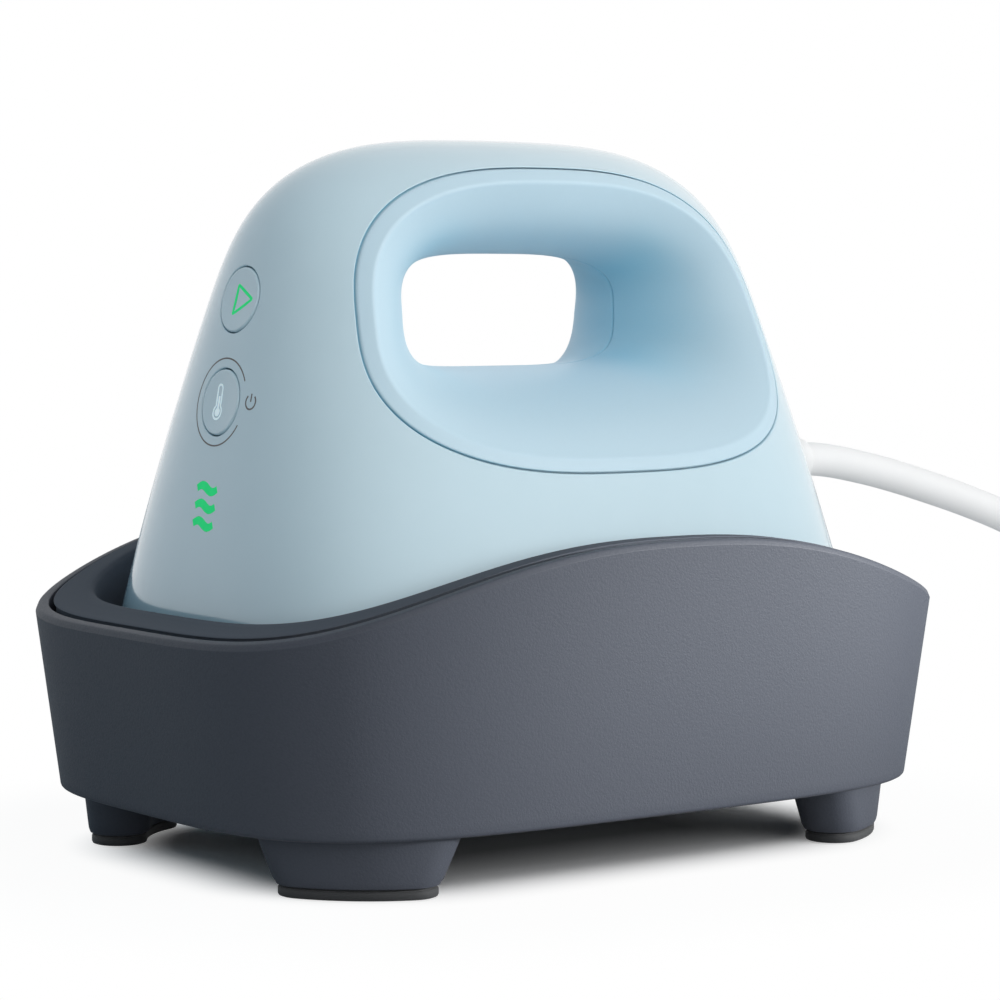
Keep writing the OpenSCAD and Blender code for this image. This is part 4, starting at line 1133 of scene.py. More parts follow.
    def window_tool(self, side: int) -> bpy.types.Object:
        """Cutter for one side window, with a rounded edge at the surface.

        Args:
            side: 1 for the right window, -1 for the left.

        Returns:
            The cutter.
        """
        r = self.window_round
        rows = [(r - r * math.cos(a), r - r * math.sin(a)) for a in np.radians((0, 25, 50, 72))]
        wide, low = rows[-1]
        rows.append((wide + 1.6, low - 0.52))
        rings = [self.flush_ring(-self.gap - wide, sink) for wide, sink in rows]
        ends = []
        for x, ring in zip(self.window_span, (rings[0], rings[-1])):
            ends.append(np.column_stack([np.full(self.around, x), ring[:, 1:]]))
        points, faces = skin([ends[0], *rings, ends[1]], [end.mean(0) for end in ends])
        points[:, 0] *= side
        return make_piece(f"window_{side}", points, faces)


@dataclass
class Controls:
    """Two round buttons with lit signs, three lit waves and the printed marks, all on the front face."""

    housing: Housing
    button_d: float = 13.4
    button_gap: float = 0.25
    dish: float = 0.42
    rim_proud: float = 0.1
    rim_round: float = 0.4
    flange_grow: float = 1.5
    flange_t: float = 1.3
    flange_low: float = 4.6
    hole_round: float = 0.3
    hole_depth: float = 9.0
    go_z: float = 114.1
    temperature_z: float = 93.6
    wave_z: float = 72.8
    wave_pitch: float = 3.53
    wave_l: float = 7.4
    wave_rise: float = 0.62
    wave_stroke: float = 1.4
    wave_swell: float = 0.28
    guide_depth: float = 3.0
    slot_gap: float = 0.06
    slot_proud: float = 3.0
    slot_depth: float = 6.0
    sign_proud: float = 0.02
    ring_r: float = 8.9
    ring_gap: float = 30.0
    ring_line: float = 0.32
    power_mark: tuple[float, float] = (10.72, 0.38)
    power_r: float = 1.5
    power_arc: tuple[float, float] = (132.0, 408.0)
    power_bar: float = 1.65
    power_line: float = 0.36
    print_proud: float = 0.015
    print_depth: float = 0.05
    sign_depth: float = 0.9
    triangle: tuple = ((-1.2, 3.0), (4.7, 0.1), (-1.6, -3.0))
    triangle_round: float = 0.35
    triangle_line: float = 0.62
    stem_x: float = -0.9
    stem_r: float = 0.8
    stem_top: float = 2.75
    bulb_y: float = -2.05
    bulb_r: float = 1.45
    stem_line: float = 0.38
    fill_r: float = 0.86
    column_half: float = 0.3
    column_top: float = 1.2
    sides: int = 128

    def button_face(self, face: FrontFace) -> Height:
        """Height of a button's dished face, which follows the housing round it.

        Args:
            face: Frame at the button's middle.

        Returns:
            A function that gives the height at places across and up the face.
        """
        inner = self.button_d / 2 - self.rim_round

        def height(across: np.ndarray, up: np.ndarray) -> np.ndarray:
            """Height of the dished face above the frame's plane."""
            hollow = self.dish * (1 - np.clip(np.hypot(across, up) / inner, 0, 1) ** 2)
            return face.surface(across, up) + self.rim_proud - hollow

        return height

    def build_button(self, name: str, z: float) -> bpy.types.Object:
        """Makes one button.

        Args:
            name: Node and body that it stands for.
            z: Height of its middle.

        Returns:
            The button.
        """
        face = FrontFace(self.housing, z)
        height = self.button_face(face)
        radius, r = self.button_d / 2, self.rim_round
        flange_r, flange_top = radius + self.flange_grow, self.flange_t - self.flange_low
        flange = [(flange_r, -self.flange_low), (flange_r, flange_top), (radius, flange_top)]
        rim = [(radius, -r)]
        for turn in np.radians((22, 45, 68)):
            rim.append((radius - r + r * math.cos(turn), -r + r * math.sin(turn)))
        rim += [(reach, 0.0) for reach in np.linspace(radius - r, 0.25, 26)]
        dished = lathe_rings(rim, self.sides)
        for ring in dished:
            ring[:, 2] += height(ring[:, 0], ring[:, 1])
        middle = float(height(np.zeros(1), np.zeros(1))[0])
        rings = lathe_rings(flange, self.sides) + dished
        points, faces = skin(rings, [(0, 0, -self.flange_low), (0, 0, middle)])
        piece = make_piece(f"{name}_cap", face.place(points), faces)
        return settle(piece, "blue_gloss_plastic", name, name)

    def hole_tool(self, z: float) -> bpy.types.Object:
        """Cutter for a button's hole, with a rounded edge at the surface.

        Args:
            z: Height of the button's middle.

        Returns:
            The cutter.
        """
        face = FrontFace(self.housing, z)
        radius, r = self.button_d / 2 + self.button_gap, self.hole_round
        profile = [(radius, -self.hole_depth), (radius, -r)]
        profile += [(radius + r - r * math.cos(a), r * math.sin(a) - r) for a in np.radians((25, 50, 72))]
        wide, out = profile[-1]
        profile += [(wide + 1.2, out + 0.39), (wide + 1.2, out + 6)]
        rings = lathe_rings(profile, self.sides)
        for ring in rings:
            ring[:, 2] += face.surface(ring[:, 0], ring[:, 1])
        points, faces = skin(rings, [rings[0].mean(0), rings[-1].mean(0)])
        return make_piece(f"button_hole_{z:.0f}", face.place(points), faces)

    def wave_path(self, grow: float) -> Points:
        """Middle line of one wave: a crest on the left and a trough on the right."""
        x = np.linspace(-0.5, 0.5, 33) * (self.wave_l + 2 * grow)
        return np.stack([x, -self.wave_rise * np.sin(2 * math.pi * x / self.wave_l)], axis=-1)

    def wave(self, name: str, k: int, grow: float, proud: float, depth: float) -> bpy.types.Object:
        """One wave as a solid on the front face.

        Args:
            name: Name of the solid.
            k: Place in the stack: -1 below, 0 in the middle, 1 above.
            grow: How much wider it is than the wave on every side.
            proud: How far it stands above the face.
            depth: How far it reaches below the face.

        Returns:
            The solid.
        """
        face = FrontFace(self.housing, self.wave_z + k * self.wave_pitch)
        path = self.wave_path(grow)
        swell = 1 + self.wave_swell * np.cos(math.pi * path[:, :1] / self.wave_l) ** 2
        edges = stroke(path, self.wave_stroke * swell + 2 * grow)
        return raised(name, edges, face, face.surface, proud, depth)

    def tools(self) -> list[bpy.types.Object]:
        """Cutters for the holes and slots in the housing's front.

        Returns:
            The cutters.
        """
        holes = [self.hole_tool(z) for z in (self.go_z, self.temperature_z)]
        size = (self.slot_gap, self.slot_proud, self.slot_depth)
        return holes + [self.wave(f"wave_slot_{k + 1}", k, *size) for k in (-1, 0, 1)]

    def build_waves(self) -> bpy.types.Object:
        """Makes the three lit waves, joined as one light guide.

        Returns:
            The light guide.
        """
        size = (0.0, self.sign_proud, self.guide_depth)
        waves = [self.wave(f"wave_{k + 1}", k, *size) for k in (-1, 0, 1)]
        guide = waves[0]
        guide.name = "wave_light_guide"
        carve(guide, waves[1:], Carving.JOIN)
        return settle(guide, "green_light", "press", "wave_lights")

    def build_go_sign(self) -> bpy.types.Object:
        """Makes the lit triangle on the upper button.

        Returns:
            The sign.
        """
        face = FrontFace(self.housing, self.go_z)
        line = rounded_polygon(self.triangle, self.triangle_round, 7)
        edges = stroke(np.vstack([line, line[:1]]), self.triangle_line)
        sign = raised("go_sign", edges, face, self.button_face(face), self.sign_proud, self.sign_depth)
        return settle(sign, "green_light", "go_button", "go_lens")

    def build_temperature_sign(self) -> bpy.types.Object:
        """Makes the lit thermometer on the lower button: an outline, and a filled column inside it.

        Returns:
            The sign.
        """
        face = FrontFace(self.housing, self.temperature_z)
        height = self.button_face(face)
        x, bulb_y = self.stem_x, self.bulb_y
        spread = math.degrees(math.asin(self.stem_r / self.bulb_r))
        line = np.vstack([
            arc((x, self.stem_top), self.stem_r, 0, 180, 17),
            arc((x, bulb_y), self.bulb_r, 90 + spread, 450 - spread, 41),
        ])
        edges = stroke(np.vstack([line, line[:1]]), self.stem_line)
        outline = raised("temperature_sign", edges, face, height, self.sign_proud, self.sign_depth)
        bulb = np.linspace(bulb_y - self.fill_r, bulb_y + 0.8, 17)
        column = np.linspace(bulb_y, self.column_top, 9)
        column = column[column > bulb[-1]]
        round_half = np.sqrt(np.clip(self.fill_r**2 - (bulb - bulb_y) ** 2, 0.02**2, None))
        bulb_half = np.maximum(round_half, np.where(bulb > bulb_y, self.column_half, 0.0))
        levels = np.concatenate([bulb, column])
        halves = np.concatenate([bulb_half, np.full(len(column), self.column_half)])
        edges = (np.stack([x - halves, levels], -1), np.stack([x + halves, levels], -1))
        fill = raised("temperature_fill", edges, face, height, self.sign_proud, self.sign_depth)
        carve(outline, [fill], Carving.JOIN)
        return settle(outline, "pale_light", "temperature_button", "temperature_lens")

    def build_print(self) -> list[bpy.types.Object]:
        """Makes the printed ring round the lower button and the power mark beside it.

        Returns:
            The printed lines.
        """
        face = FrontFace(self.housing, self.temperature_z)
        mark_x, mark_y = self.power_mark
        ring = arc((0, 0), self.ring_r, self.ring_gap, 360 - self.ring_gap, 121)
        mark = arc(self.power_mark, self.power_r, *self.power_arc, 61)
        bar = np.stack([np.full(7, mark_x), np.linspace(mark_y, mark_y + self.power_bar, 7)], axis=-1)
        lines = {
            "printed_ring": (ring, self.ring_line),
            "printed_power_ring": (mark, self.power_line),
            "printed_power_bar": (bar, self.power_line),
        }
        pieces = []
        for name, (path, width) in lines.items():
            edges = stroke(path, width)
            piece = raised(name, edges, face, face.surface, self.print_proud, self.print_depth)
            dress(piece, PRINT_GREY)
            pieces.append(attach(piece, "press"))
        return pieces

    def build(self) -> None:
        """Makes every control."""
        self.build_button("go_button", self.go_z)
        self.build_button("temperature_button", self.temperature_z)
        self.build_go_sign()
        self.build_temperature_sign()
        self.build_waves()
        self.build_print()


# Base


@dataclass
class SafetyBase:
    """Grained outer base on four corner feet, with its smooth tray and rubber pads.

    Pairs hold the value across the press and the one along it. Drafts and turns are in degrees.
    """

    housing: Housing
    half: tuple[float, float] = (62.5, 85.0)
    power: float = 3.9
    draft: float = 6.7
    underside: float = 12.0
    floor: float = 14.5
    wall: float = 2.6
    rim_low: float = 46.9
    rim_high: float = 67.0
    wave_reach: float = 1.18
    wave_ease: float = 1.25
    lip: float = 2.6
    lip_gap: float = 0.8
    foot_round: float = 0.9
    lip_profile: tuple = (
        (0.0, -1.2), (0.02, -1.14), (0.08, -1.02), (0.32, -0.55), (0.52, -0.2), (0.7, -0.07), (0.95, -0.02),
    )
    lip_drop: float = -0.12
    lip_edge: float = 0.3
    tray_half: tuple[float, float] = (59.84, 76.5)
    tray_power: float = 3.7
    tray_t: float = 2.0
    tray_profile: tuple = (
        (0.05, -6), (0.05, -3), (0.05, 0), (0.045, 0.15), (0.005, 0.18), (0, 0.3), (0.02, 0.4), (0.08, 0.45),
        (0.2, 0.46), (0.45, 0.5), (0.68, 0.5), (0.82, 0.2), (0.91, -1), (0.97, -4.5), (1, -13),
    )
    saddle_r: float = 163.15
    foot_in: tuple[float, float] = (41.0, 41.8)
    foot_mid_r: float = 30.0
    foot_turn: float = 41.0
    foot_span: float = 38.0
    foot_half: float = 6.3
    foot_draft: float = 6.5
    foot_end_draft: float = 23.5
    pad_inset: float = 0.5
    pad_neck: float = 0.7
    pad_h: float = 1.8
    pad_groove: float = 0.4
    screw_at: float = 30.0
    screw_radii: tuple[float, float] = (3.5, 1.65)
    around: int = 360

    def __post_init__(self) -> None:
        """Sets the angles that all rings share."""
        self.angles = even_angles(*self.half, self.power, self.around)

    def rim(self, share: np.ndarray) -> np.ndarray:
        """Height of the waved rim at a share of the half length, level from side to side."""
        wave = (1 + np.cos(math.pi * np.minimum(1, np.abs(share) / self.wave_reach) ** self.wave_ease)) / 2
        return mix(self.rim_low, self.rim_high, wave)

    def shares(self) -> np.ndarray:
        """Share of the half length at each plan angle."""
        return signed_power(np.sin(self.angles), 2 / self.power)

    def rim_half(self) -> np.ndarray:
        """Half length of the base at its rim, at each plan angle."""
        return self.half[1] + self.grow(self.rim(self.shares()))

    def grow(self, z: np.ndarray) -> np.ndarray:
        """How far the wall has leaned out at a height."""
        return (z - self.underside) * math.tan(math.radians(self.draft))

    def wall_ring(self, rise: float, inset: float, dz: float) -> Points:
        """Ring of the outer base.

        Args:
            rise: Share of the way from its underside to the rim.
            inset: Distance inside the wall's outer surface.
            dz: Height above that place.

        Returns:
            One point for each angle.
        """
        z = mix(self.underside, self.rim(self.shares() * (1 - inset / self.rim_half())), rise) + dz
        reach = self.grow(z) - inset
        flat = superellipse(self.half[0] + reach, self.half[1] + reach, self.power, self.angles)
        return np.column_stack([flat, z])

    def foot_outline(self, half: float, longer: float, steps: int = 17) -> Points:
        """Outline of a foot in plan: an arc with round ends.

        Args:
            half: Half width of the foot.
            longer: Length that is added at each end.
            steps: Points on each side and each end.

        Returns:
            The points of the outline.
        """
        end = self.foot_span / 2 + math.degrees(longer / self.foot_mid_r)
        tip = self.foot_mid_r * np.array([math.cos(math.radians(end)), math.sin(math.radians(end))])
        return np.vstack([
            arc((0, 0), self.foot_mid_r + half, -end, end, steps),
            arc(tip, half, end, end + 180, steps)[1:-1],
            arc((0, 0), self.foot_mid_r - half, end, -end, steps),
            arc(tip * (1, -1), half, 180 - end, 360 - end, steps)[1:-1],
        ])

    def at_feet(self, rings: Sequence[Points], name: str) -> list[bpy.types.Object]:
        """Four copies of a foot's solid, one under each corner.

        Args:
            rings: Rings of the solid in the foot's own frame.
            name: Start of each copy's name.

        Returns:
            The four solids.
        """
        turn = math.radians(self.foot_turn)
        axes = [(math.cos(turn), math.sin(turn), 0), (-math.sin(turn), math.cos(turn), 0), (0, 0, 1)]
        poles = [(self.foot_mid_r, 0, rings[0][0][2]), (self.foot_mid_r, 0, rings[-1][0][2])]
        points, faces = skin(rings, poles)
        centre = (self.half[0] - self.foot_in[0], self.half[1] - self.foot_in[1], 0)
        corner = place(points, centre, axes)
        return [make_piece(f"{name}_{x}_{y}", corner * (x, y, 1), faces) for x, y in CORNERS]

    def foot_rings(self, levels: Sequence[tuple[float, float, float]]) -> list[Points]:
        """Rings of a foot.

        Args:
            levels: Height, half width and extra length at each end, for each ring.

        Returns:
            The rings.
        """
        rings = []
        for z, half, longer in levels:
            flat = self.foot_outline(half, longer)
            rings.append(np.column_stack([flat, np.full(len(flat), z)]))
        return rings

    def build_shell(self) -> bpy.types.Object:
        """Makes the grained outer base with its feet.

        Returns:
            The base.
        """
        low, edge = self.foot_round, self.lip_edge
        rings = [self.wall_ring(0, inset, 0) for inset in (30, 8, 2.2)]
        for a in np.radians((0, 22, 45, 68, 90)):
            rings.append(self.wall_ring(0, low - low * math.sin(a), low - low * math.cos(a)))
        top = self.lip_profile[0][1] - self.lip_drop
        rings += [self.wall_ring(r, 0, mix(low, top, r)) for r in np.linspace(0, 1, 30)[1:-1]]
        rings.append(self.wall_ring(1, 0, top - 0.07))
        rings += [self.wall_ring(1, inset, dz - self.lip_drop) for inset, dz in self.lip_profile]
        for a in np.radians((0, 30, 60, 90)):
            drop = edge - edge * math.cos(a) + self.lip_drop
            rings.append(self.wall_ring(1, self.lip - edge + edge * math.sin(a), -drop))
        rings += [self.wall_ring(r, self.wall, 0) for r in (0.75, 0.5, 0.25)]
        rings += [self.wall_ring(0, self.wall, 4.5), self.wall_ring(0, self.wall + 2, 2.5)]
        points, faces = skin(rings, [(0, 0, self.underside), (0, 0, self.floor)])
        shell = make_piece("base_outer", points, faces)
        carve(shell, self.at_feet(self.foot_rings(self.foot_levels()), "foot"), Carving.JOIN)
        carve(shell, self.screw_tools(), Carving.CUT)
        smooth(shell)
        return settle(shell, "slate_grained_plastic", "base", "base_shell")

    def foot_levels(self) -> list[tuple[float, float, float]]:
        """Height, half width and extra length at each end, from a foot's lower edge up into the base.

        Returns:
            One row for each ring of the foot.
        """
        bottom, half = self.pad_h + self.pad_groove, self.foot_half
        flare, end_flare = (math.tan(math.radians(a)) for a in (self.foot_draft, self.foot_end_draft))
        levels = [(bottom, half - 0.6, 0), (bottom + 0.18, half - 0.18, 0), (bottom + 0.6, half, 0)]
        for z in np.linspace(bottom + 1.2, self.underside + 0.6, 6):
            levels.append((z, half + (z - bottom) * flare, (z - bottom) * (end_flare - flare)))
        return levels

    def screw_tools(self) -> list[bpy.types.Object]:
        """Cutters for the four stepped screw holes in the underside.

        Returns:
            The cutters.
        """
        low, step, high = self.underside - 1, self.underside + 1, 20
        head_r, bore_r = self.screw_radii
        rings = lathe_rings([(head_r, low), (head_r, step), (bore_r, step), (bore_r, high)], 48)
        points, faces = skin(rings, [(0, 0, low), (0, 0, high)])
        tools = []
        for x, y in CORNERS:
            at = (x * self.screw_at, y * self.screw_at, 0)
            tools.append(make_piece(f"screw_hole_{x}_{y}", points + at, faces))
        return tools

    def build_pads(self) -> bpy.types.Object:
        """Makes the four rubber pads.

        Returns:
            The pads as one piece.
        """
        half = self.foot_half - self.pad_inset
        neck, top = half - self.pad_neck, self.pad_h
        levels = [(0, half - 0.5), (0.12, half - 0.16), (0.45, half), (top - 0.3, half), (top, half - 0.25)]
        levels += [(top, neck), (top + self.pad_groove - 0.05, neck)]
        pads = self.at_feet(self.foot_rings([(z, wide, 0) for z, wide in levels]), "pad")
        first = pads[0]
        first.name = "foot_pad_set"
        carve(first, pads[1:], Carving.JOIN)
        smooth(first, 40)
        return settle(first, "pad_rubber", "base", "foot_pads")

    def tray_ring(self, across: float, grow: float, dz: float) -> Points:
        """Ring of the tray's rolled rim.

        Args:
            across: Share of the way from the base's lip to the inner wall.
            grow: Distance outside the surface.
            dz: Height above the base's rim.

        Returns:
            One point for each angle.
        """
        out = self.grow(self.rim(self.shares())) - self.lip - self.lip_gap
        x = mix(self.half[0] + out, self.tray_half[0], across) + grow
        y = mix(self.half[1] + out, self.tray_half[1], across) + grow
        flat = superellipse(x, y, mix(self.power, self.tray_power, across), self.angles)
        return np.column_stack([flat, self.rim(flat[:, 1] / self.rim_half()) + dz])

    def saddle_ring(self, share: float, grow: float, radius: float, dz: float) -> Points:
        """Ring of the tray's arched bottom.

        Args:
            share: Share of the way from its middle to the inner wall.
            grow: Distance outside the surface.
            radius: Radius of the arch.
            dz: Height above the arch.

        Returns:
            One point for each angle.
        """
        half_x, half_y = (half + grow for half in self.tray_half)
        flat = share * superellipse(half_x, half_y, self.tray_power, self.angles)
        arch = self.housing.arch_centre + np.sqrt(radius**2 - flat[:, 1] ** 2)
        return np.column_stack([flat, arch + dz])

    def build_tray(self) -> bpy.types.Object:
        """Makes the smooth inner tray.

        Returns:
            The tray.
        """
        t, r = self.tray_t, self.saddle_r
        rings = [self.saddle_ring(s, g, r - t, 0) for s, g in ((0.3, 0), (0.6, 0), (0.86, t))]
        rings += [self.saddle_ring(0.99, t, r - t, 1), self.saddle_ring(1, t, r, 3), self.tray_ring(1, t, -8)]
        rings += [self.tray_ring(0.6, 0, -2.4), self.tray_ring(0.35, 0, -2.2)]
        rings += [self.tray_ring(0.05, -t, -2.6), self.tray_ring(0.05, -t, -6)]
        for across, dz in smooth_path(self.tray_profile, 6):
            rings.append(self.tray_ring(min(1, max(0, across)), 0, dz))
        for share, dz in ((1, 3), (0.993, 1.5), (0.975, 0.6), (0.94, 0.15)):
            rings.append(self.saddle_ring(share, 0, r, dz))
        rings += [self.saddle_ring(share, 0, r, 0) for share in (0.9, 0.8, 0.6, 0.4, 0.2)]
        crest = self.housing.arch_centre + r
        points, faces = skin(rings, [(0, 0, crest - t), (0, 0, crest)])
        return settle(make_piece("base_inner_tray", points, faces), "charcoal_plastic", "base", "base_tray")

    def build(self) -> None:
        """Makes the base."""
        self.build_shell()
        self.build_tray()
        self.build_pads()


# Mains lead


@dataclass
class MainsLead:
    """White lead from the strain relief to the coil behind the press, with its tie and its plug.
    """

    housing: Housing
    diameter: float = 7.6
    exit_y: float = 88.0
    exit_z: float = 77.2
    exit_r: float = 6.15
    relief_axes: tuple = ((1, 0, 0), (0, 0, -1), (0, 1, 0))
    coil_pitch: float = 9.3
    coil_inner_r: float = 34.0
    coil_turns: float = 2.5
    coil_low: float = 4.0
    tail: float = 65.25
    plug_l: float = 34.0
    plug_half: tuple[float, float] = (12.5, 13.25)
    plug_axes: tuple = ((1, 0, 0), (0, 0, 1), (0, -1, 0))
    blade_l: float = 16.0
    blade_half: float = 3.2
    blade_rise: float = 3.0
    blade_pitch: float = 12.7
    blade_hole_r: float = 1.5
    blade_hole_at: float = 11.5
    pin_drop: float = 5.5
    pin_r: float = 2.4
    pin_straight: float = 16.6
    tie_w: float = 9.0
    tie_t: float = 1.2
    tie_gap: float = 0.8
    lift_from: float = 92.0
    lift_to: float = 230.0
    sides: int = 28
    route: tuple = (
        (0, 88, 77.2), (0, 92, 77.2), (0, 98, 76.5), (0, 105, 75.2), (0, 112, 73.7), (0, 120, 71.7),
        (0, 128, 69.5), (0, 136, 67.2), (0, 144, 64.7), (-0.2, 152, 62), (-1, 160, 59), (-2.5, 168, 55.6),
        (-4.6, 176, 51.7), (-7.2, 184, 47.2), (-10, 191, 42.5), (-13.2, 198, 37.2), (-16.8, 205, 31.5),
        (-20.6, 212, 25.8), (-24.4, 219, 20.4), (-28, 226, 15.6), (-31.4, 233, 11.6), (-35, 241, 8.2),
        (-38.2, 249, 5.9), (-40.9, 257, 4.7), (-42.9, 265, 4.2), (-44.3, 273, 4), (-45, 281, 4),
        (-45, 287, 4),
    )

    def __post_init__(self) -> None:
        """Works out the coil's middle, its outer radius and the lead's path."""
        self.outer_r = self.coil_inner_r + self.coil_turns * self.coil_pitch
        start = np.array(self.route[-1]) + (0, self.diameter, 0)
        self.coil_middle = np.array([start[0] + self.outer_r, start[1], 0])
        turns = np.linspace(0, 2 * self.coil_turns + 0.5, 420)
        coil = np.array([self.coil_point(u) for u in turns])
        self.coil_end = coil[-1]
        tail = coil[-1] - np.outer(np.linspace(0, 1, 16)[1:], (0, self.tail, 0))
        free = smooth_path(self.route, 6)
        self.path = np.vstack([free, coil, tail])

    def coil_point(self, u: float) -> Points:
        """Point of the coil, which runs in below, climbs in half a turn and runs out above.

        Args:
            u: Number of turns from the coil's start.

        Returns:
            The point.
        """
        n, r, half_turn = self.coil_turns, self.coil_inner_r, 0.5
        if u < n:
            r = self.outer_r - u * self.coil_pitch
        elif u > n + half_turn:
            r = self.coil_inner_r + (u - n - half_turn) * self.coil_pitch
        climb = (1 - math.cos(math.pi * min(1, max(0, (u - n) / half_turn)))) / 2
        turn, z = 2 * math.pi * u, self.coil_low + self.coil_pitch * climb
        return self.coil_middle + (-r * math.cos(turn), r * math.sin(turn), z)

    def exit_tool(self) -> bpy.types.Object:
        """Cutter for the strain relief's hole in the rear of the housing.

        Returns:
            The cutter.
        """
        r, reach = self.exit_r, 9
        points, faces = skin(lathe_rings([(r, -reach), (r, reach)], 64), [(0, 0, -reach), (0, 0, reach)])
        rear = (0, float(self.housing.half(0, self.exit_z)), self.exit_z)
        return make_piece("relief_hole", place(points, rear, self.relief_axes), faces)

    def build_relief(self) -> bpy.types.Object:
        """Makes the ribbed, tapered strain relief.

        Returns:
            The strain relief.
        """
        start = float(self.housing.half(0, self.exit_z))
        length, bore, ribs = self.exit_y - start, self.diameter / 2 - 1, 5
        root, tip = (self.diameter + 4.4) / 2, (self.diameter + 2.2) / 2
        profile = [(bore, -5.2), (8.4, -5.2), (8.5, -5.0), (8.5, -3.4), (root, -3.2), (root, 1.6)]
        for k in range(1, ribs + 1):
            middle = mix(2, length - 1, k / (ribs + 1))
            r = mix(root, tip, k / (ribs + 1))
            for dz, dr in ((-0.95, 0), (-0.7, -0.12), (-0.6, -0.6), (0.6, -0.6), (0.7, -0.12), (0.95, 0)):
                profile.append((r + dr, middle + dz))
        profile += [(tip, length - 0.5), (tip - 0.15, length - 0.1), (tip - 0.5, length), (bore, length)]
        points, faces = skin(lathe_rings(profile, 96))
        origin = (0, start, self.exit_z)
        piece = make_piece("lead_strain_relief", place(points, origin, self.relief_axes), faces)
        return settle(piece, "cord_white", "press", "strain_relief")

    def build_plug(self) -> bpy.types.Object:
        """Makes the moulded plug: a ribbed neck that widens into a rounded body with a finger waist.

        Returns:
            The plug.
        """
        wide, tall = self.plug_half
        neck, ribs, r, around = self.diameter / 2 + 1.25, 4, 1.4, 120
        rows = [(0.0, neck - 0.5, neck - 0.5, 2.0), (0.4, neck, neck, 2.0)]
        for k in range(ribs):
            for dy, grow in ((0, 0), (0.2, -0.6), (1.0, -0.5), (1.2, 0.35)):
                half = neck + 0.42 * k + grow
                rows.append((1.6 + 2.6 * k + dy, half, half, 2.0))
        for u in np.linspace(0, 1, 9):
            ease = u * u * (3 - 2 * u)
            halves = (mix(7, half - 0.9, ease) for half in self.plug_half)
            rows.append((mix(12.4, 19, u), *halves, mix(2.2, 4.2, u)))
        rows += [(22, wide - 1.3, tall - 0.9, 4.4), (26, wide - 0.7, tall - 0.4, 4.6)]
        rows += [(29, wide, tall, 4.8), (self.plug_l - r, wide, tall, 4.8)]
        for a in np.radians((25, 50, 75, 90)):
            drop = r - r * math.cos(a)
            rows.append((self.plug_l - r + r * math.sin(a), wide - drop, tall - drop, 4.8))
        angles = even_angles(1, 1, 3.2, around)
        rings = [np.column_stack([superellipse(w, h, n, angles), np.full(around, y)]) for y, w, h, n in rows]
        points, faces = skin(rings, [(0, 0, 0), (0, 0, self.plug_l)])
        origin = self.coil_end - (0, self.tail, 0)
        plug = make_piece("lead_plug", place(points, origin, self.plug_axes), faces)
        return settle(plug, "cord_white", "base", "plug")

    def build_blades(self) -> bpy.types.Object:
        """Makes the two flat blades, with rounded tips and a hole in each, and the ground pin.

        Returns:
            The blades and the pin as one piece.
        """
        middle = self.coil_end - (0, self.tail + self.plug_l + 0.05, 0)
        blades = [self.blade(middle, side) for side in (-1, 1)]
        r, straight = self.pin_r, self.pin_straight
        profile = [(r, 0), (r, straight)]
        profile += [(r * math.cos(a), straight + r * math.sin(a)) for a in np.radians((20, 40, 60, 78))]
        points, faces = skin(lathe_rings(profile, 40), [(0, 0, 0), (0, 0, straight + r)])
        pin = make_piece("ground_pin", place(points, middle - (0, 0, self.pin_drop), self.plug_axes), faces)
        carve(pin, blades, Carving.JOIN)
        pin.name = "lead_plug_blades"
        return settle(pin, "blade_brass", "base", "plug_blades")

    def blade(self, middle: Points, side: int) -> bpy.types.Object:
        """One flat blade with eased edges and a hole near its tip.

        Args:
            middle: Middle of the plug's face.
            side: -1 for the blade on the left, 1 for the one on the right.

        Returns:
            The blade.
        """
        x, rise = side * self.blade_pitch / 2, self.blade_rise
        half, length = self.blade_half, self.blade_l
        right = [(1.2, -length), (2.6, -15.2), (half, -13.6), (half, 0)]
        outline = np.array([(-z, y) for z, y in reversed(right)] + right)
        rings = []
        for dx, drop in ((-0.75, 0.25), (-0.5, 0), (0.5, 0), (0.75, 0.25)):
            y, z = outline[:, 1] * (1 - drop / length), outline[:, 0] * (1 - drop / half) + rise
            rings.append(np.column_stack([np.full(len(outline), x + dx), y, z]) + middle)
        points, faces = skin(rings, [rings[0].mean(0), rings[-1].mean(0)])
        blade = make_piece(f"blade_{x:.0f}", points, faces)
        r, reach = self.blade_hole_r, 3
        points, faces = skin(lathe_rings([(r, -reach), (r, reach)], 32), [(0, 0, -reach), (0, 0, reach)])
        axes = [(0, 1, 0), (0, 0, 1), (1, 0, 0)]
        hole = make_piece("blade_hole", place(points, middle + (x, -self.blade_hole_at, rise), axes), faces)
        carve(blade, [hole], Carving.CUT)
        return blade

    def build_tie(self) -> bpy.types.Object:
        """Makes the strap round one side of the coil.

        Returns:
            The strap.
        """
        t, clear = self.tie_t, self.diameter / 2 + self.tie_gap
        left, right = -self.outer_r - clear, clear - self.coil_inner_r
        high, low, slack = self.coil_low + self.coil_pitch + clear, 0.03, 0.1
        outer = [(left - t, low), (right + t, low), (right + t, high + t), (left - t, high + t)]
        inner = [(left, low + slack), (right, low + slack), (right, high), (left, high)]
        out, hollow = rounded_polygon(outer, 3.2, 9), rounded_polygon(inner, 2.2, 9)
        width, ease = self.tie_w / 2, 0.3
        rows = []
        for flat, y in ((out, ease - width), (out, width - ease), (hollow, width), (hollow, -width)):
            rows.append(np.column_stack([flat[:, 0], np.full(len(flat), y), flat[:, 1]]))
        points, faces = skin(rows)
        points += self.coil_middle + (0, 1, 0)
        return settle(make_piece("coil_strap", points, faces), "tie_black", "base", "coil_tie")

